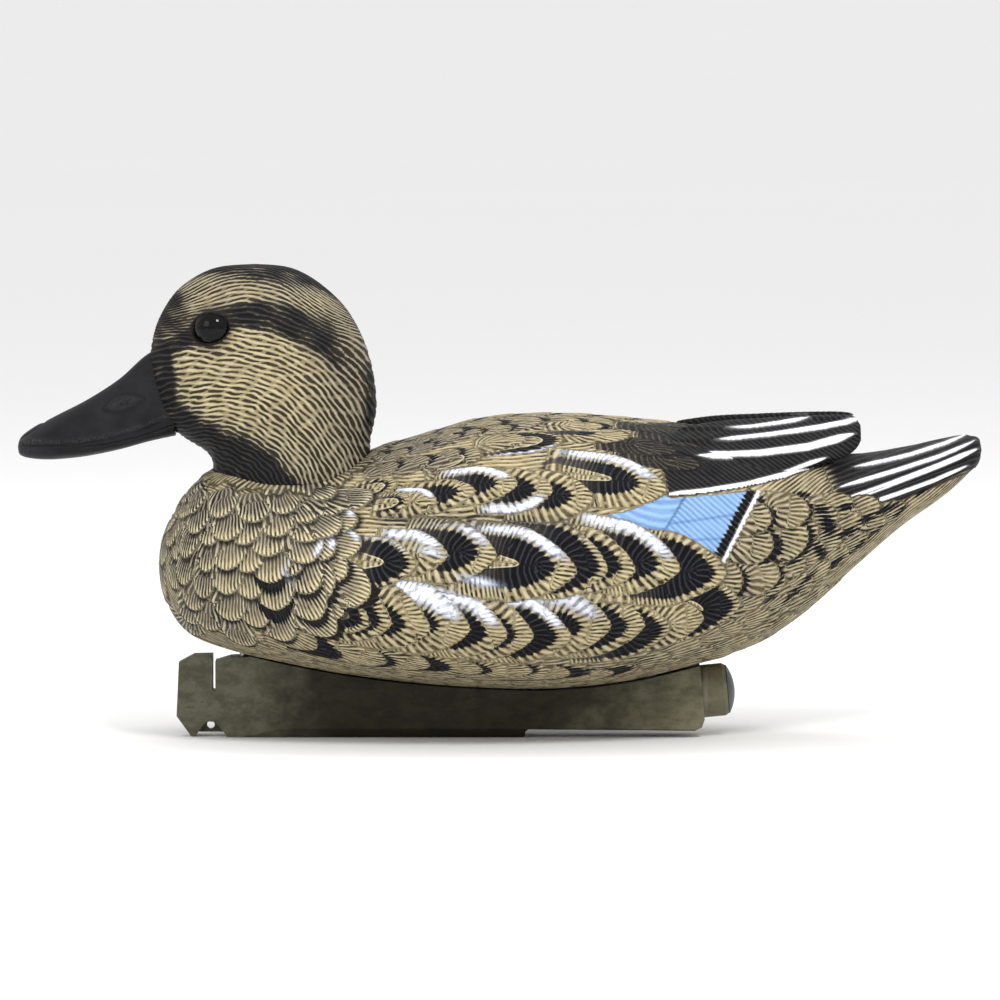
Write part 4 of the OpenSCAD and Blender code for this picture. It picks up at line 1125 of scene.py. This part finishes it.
def bill_material():
    """Satin black, rubbed grey along the lip, the nostrils and the tip."""
    p = Paint("bill_black")
    speck, cloud = p.noise(0.7, 3), p.noise(14.0, 3)
    colour = p.mix(p.smooth(0.35, 0.7, cloud), (0.007, 0.007, 0.008), (0.015, 0.015, 0.017))
    worn = p.field("wear") * p.smooth(0.42, 0.68, speck) * 0.6
    colour = p.mix(worn, colour, (0.085, 0.085, 0.088))
    p.bump(speck + p.noise(3.0, 2) * 0.5, 0.06, 0.9)
    return p.finish(colour, p.smooth(0.3, 0.7, cloud, 0.45, 0.6), Specular_IOR_Level=0.14)


def moulded(name, light, dark, cloud_mm=18.0, rough=(0.55, 0.72)):
    """Moulded plastic or rubber with clouded colour and fine speckle."""
    p = Paint(name)
    cloud, speck = p.noise(cloud_mm, 4, 0.6), p.noise(0.9, 3, 0.6)
    colour = p.mix(p.smooth(0.32, 0.68, cloud), dark, light)
    colour = p.mix(p.smooth(0.55, 0.8, speck, 0.0, 0.35), colour, tuple(0.55 * c for c in dark))
    p.bump(speck + cloud * 0.6, 0.05, 0.8)
    return p.finish(colour, p.smooth(0.3, 0.7, speck, *rough))


def keel_material():
    """Weathered olive moulding with painted light and shade: greenish and lighter at the nose, dark brown
    amidships as painted shade under the belly, and paler towards the tail.
    """
    p = Paint("keel_olive")
    cloud, speck = p.noise(26.0, 4, 0.6), p.noise(0.8, 3, 0.6)
    blotch = p.noise(9.0, 5, 0.65, stretch=(1.0, 1.0, 1.6))
    x, z = p.axis("X"), p.axis("Z")
    along = x + (cloud - 0.5) * 0.09
    # Painted light and shade along the keel: lighter green at the nose, dark brown amidships under the belly
    front = p.smooth(-0.068, -0.108, along + z * 0.5)
    rear = p.smooth(0.018, 0.082, along - z * 0.6)
    patch = p.smooth(0.35, 0.65, blotch)
    brown = p.mix(patch, (0.017, 0.014, 0.008), (0.029, 0.024, 0.013))
    green = p.mix(patch, (0.070, 0.066, 0.040), (0.118, 0.118, 0.080))
    khaki = p.mix(patch, (0.100, 0.092, 0.055), (0.170, 0.160, 0.103))
    colour = p.mix(rear, p.mix(front, brown, green), khaki)
    # The round tube and the edge beside it are rubbed pale, and it is darker along the base towards the front
    colour = p.mix(p.smooth(0.0905, 0.0925, x) * 0.55, colour, (0.16, 0.145, 0.095))
    rubbed = p.smooth(0.0875, 0.0895, x) * p.smooth(0.0915, 0.0895, x, 0.0, 0.8)
    colour = p.mix(rubbed, colour, (0.19, 0.18, 0.13))
    darker_base = p.smooth(0.0042, 0.0022, z) * p.smooth(-0.09, -0.06, x) * 0.75
    colour = p.mix(darker_base, colour, (0.014, 0.013, 0.008))
    colour = p.mix(p.smooth(0.60, 0.72, speck, 0.0, 0.5), colour, (0.012, 0.010, 0.006))
    colour = p.mix(p.smooth(0.60, 0.74, blotch) * 0.5, colour, (0.020, 0.016, 0.009))
    p.bump(speck + blotch * 1.5, 0.08, 0.9)
    return p.finish(colour, p.smooth(0.3, 0.7, cloud, 0.42, 0.62), Specular_IOR_Level=0.18)


def metal(name, colour, tarnish, rough=(0.22, 0.42), brush=(1.0, 12.0, 12.0)):
    """Brushed metal with tarnish in patches."""
    p = Paint(name)
    streak = p.noise(1.5, 3, 0.6, stretch=brush)
    tint = p.mix(p.smooth(0.48, 0.72, p.noise(6.0, 4, 0.65)), colour, tarnish)
    p.bump(streak, 0.02, 0.6)
    return p.finish(tint, p.smooth(0.3, 0.7, streak, *rough), Metallic=1.0)


def eye_material():
    """Glass eye: near black and clouded inside, with a glossy surface."""
    p = Paint("eye_glass")
    cloud = p.noise(3.0, 3)
    colour = p.mix(p.smooth(0.4, 0.7, cloud), (0.001, 0.001, 0.001), (0.004, 0.003, 0.003))
    p.bump(p.noise(2.2, 2), 0.004, 0.3)
    return p.finish(colour, p.smooth(0.3, 0.8, cloud, 0.03, 0.06), IOR=1.45, Specular_IOR_Level=0.22)


def dress(material, *names):
    """Gives CAD nodes a material."""
    for name in names:
        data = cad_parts[name].data
        data.materials.clear()
        data.materials.append(material)


body = make_body()
wings = [make_wing(-1), make_wing(1)]
head = make_head()
bill = make_bill()

plumage = plumage_material("plumage_paint")
for piece in (body, *wings):
    piece.data.materials.append(plumage)
head_stroke = (0.036, 0.027, 0.017)
head.data.materials.append(plumage_material("head_paint", 0.36, 1.1, head_stroke, -0.2))
bill.data.materials.append(bill_material())

dress(eye_material(), "eye_left", "eye_right")
dress(keel_material(), "keel_shell")
dress(moulded("cover_olive", (0.095, 0.09, 0.065), (0.045, 0.04, 0.03), 12.0), "ballast_cover")
dress(moulded("cap_black", (0.022, 0.022, 0.022), (0.010, 0.010, 0.010), 9.0, (0.35, 0.5)), "end_plug")
rubber = moulded("rubber_black", (0.020, 0.020, 0.020), (0.012, 0.012, 0.012), 4.0, (0.7, 0.85))
dress(rubber, "neck_washer", "screw_seals", "plug_seal")
dress(moulded("inner_moulding", (0.045, 0.05, 0.052), (0.02, 0.022, 0.024), 8.0), "neck_plug", "motor_cradle")
dress(moulded("cell_jacket", (0.36, 0.22, 0.05), (0.20, 0.11, 0.02), 5.0, (0.25, 0.4)), "battery_front", "battery_rear")
dress(metal("cast_iron", (0.16, 0.15, 0.145), (0.10, 0.05, 0.03), (0.5, 0.8), (1.0, 1.0, 1.0)), "ballast_bar")
steel = metal("stainless_steel", (0.56, 0.56, 0.57), (0.42, 0.41, 0.40))
dress(steel, "keel_screws", "motor_can", "rotor_shaft", "contact_spring")
brass = metal("contact_brass", (0.72, 0.53, 0.24), (0.42, 0.27, 0.11))
dress(brass, "front_contact", "return_strip", "plug_contact")
dress(metal("weight_brass", (0.60, 0.46, 0.22), (0.34, 0.24, 0.10), (0.3, 0.5)), "eccentric_weight")
dress(metal("lead_copper", (0.70, 0.34, 0.20), (0.32, 0.16, 0.10), (0.3, 0.5)), "motor_leads")

# ---- Floor, light and camera ----

SWEEP_FLAT, SWEEP_END, SWEEP_RISE = 8.0, 45.0, 9.0  # metres: the round floor curves up between the two radii
floor_mesh = bpy.data.meshes.new("floor")
spokes = 96
radii = np.concatenate([[0.5, 2, 5], np.linspace(SWEEP_FLAT, SWEEP_END, 30)])
curve = SWEEP_RISE * np.clip((radii - SWEEP_FLAT) / (SWEEP_END - SWEEP_FLAT), 0, 1) ** 2
turn = np.linspace(0, 2 * np.pi, spokes, endpoint=False)
floor_points = [(0.0, 0.0, 0.0)]
floor_points += [(r * math.cos(t), r * math.sin(t), h) for r, h in zip(radii, curve) for t in turn]
floor_faces = [(0, 1 + k, 1 + (k + 1) % spokes) for k in range(spokes)]
for ring in range(len(radii) - 1):
    low, high = 1 + ring * spokes, 1 + (ring + 1) * spokes
    floor_faces += [(low + k, high + k, high + (k + 1) % spokes, low + (k + 1) % spokes) for k in range(spokes)]
floor_mesh.from_pydata(floor_points, [], floor_faces)
floor_mesh.polygons.foreach_set("use_smooth", [True] * len(floor_faces))
floor = bpy.data.objects.new("floor", floor_mesh)
floor.location.z = cad_box[0].z - 0.0002
bpy.context.scene.collection.objects.link(floor)
paper = Paint("pale_floor")
shade = paper.mix(paper.noise(900.0, 2), (0.92, 0.92, 0.92), (0.94, 0.94, 0.94))
floor.data.materials.append(paper.finish(shade, 0.9))

world = bpy.data.worlds.new("studio")
bpy.context.scene.world = world
world.use_nodes = True
sky = world.node_tree.nodes["Background"].inputs
sky["Color"].default_value = (1.0, 1.0, 1.0, 1.0)
sky["Strength"].default_value = 0.9


def softbox(name, place, target, width, power):
    light = bpy.data.lights.new(name, "AREA")
    light.shape = "RECTANGLE"
    light.size, light.size_y = width
    light.energy = power
    lamp = bpy.data.objects.new(name, light)
    lamp.location = place
    lamp.rotation_euler = (Vector(target) - Vector(place)).to_track_quat("-Z", "Y").to_euler()
    bpy.context.scene.collection.objects.link(lamp)


softbox("key", (0.5, -1.3, 1.5), (0, 0, 0.1), (0.4, 0.4), 18)
softbox("fill", (-1.3, -1.2, 0.9), (0, 0, 0.1), (0.9, 0.9), 5)
softbox("top", (0.1, 0.5, 1.7), (0, 0, 0.1), (1.2, 0.8), 8)

camera = bpy.data.cameras.new("camera")
camera.lens = 300
camera.sensor_width = 36
view_width = 0.4357  # metres across the picture at the object
elevation = math.radians(4)
aim = Vector((0, 0, 0.1028))
distance = view_width * camera.lens / camera.sensor_width
eye = bpy.data.objects.new("camera", camera)
eye.location = aim + Vector((0, -math.cos(elevation), math.sin(elevation))) * distance
eye.rotation_euler = (aim - eye.location).to_track_quat("-Z", "Y").to_euler()
camera.clip_end = 300
bpy.context.scene.collection.objects.link(eye)
bpy.context.scene.camera = eye
bpy.context.scene.view_settings.view_transform = "Standard"
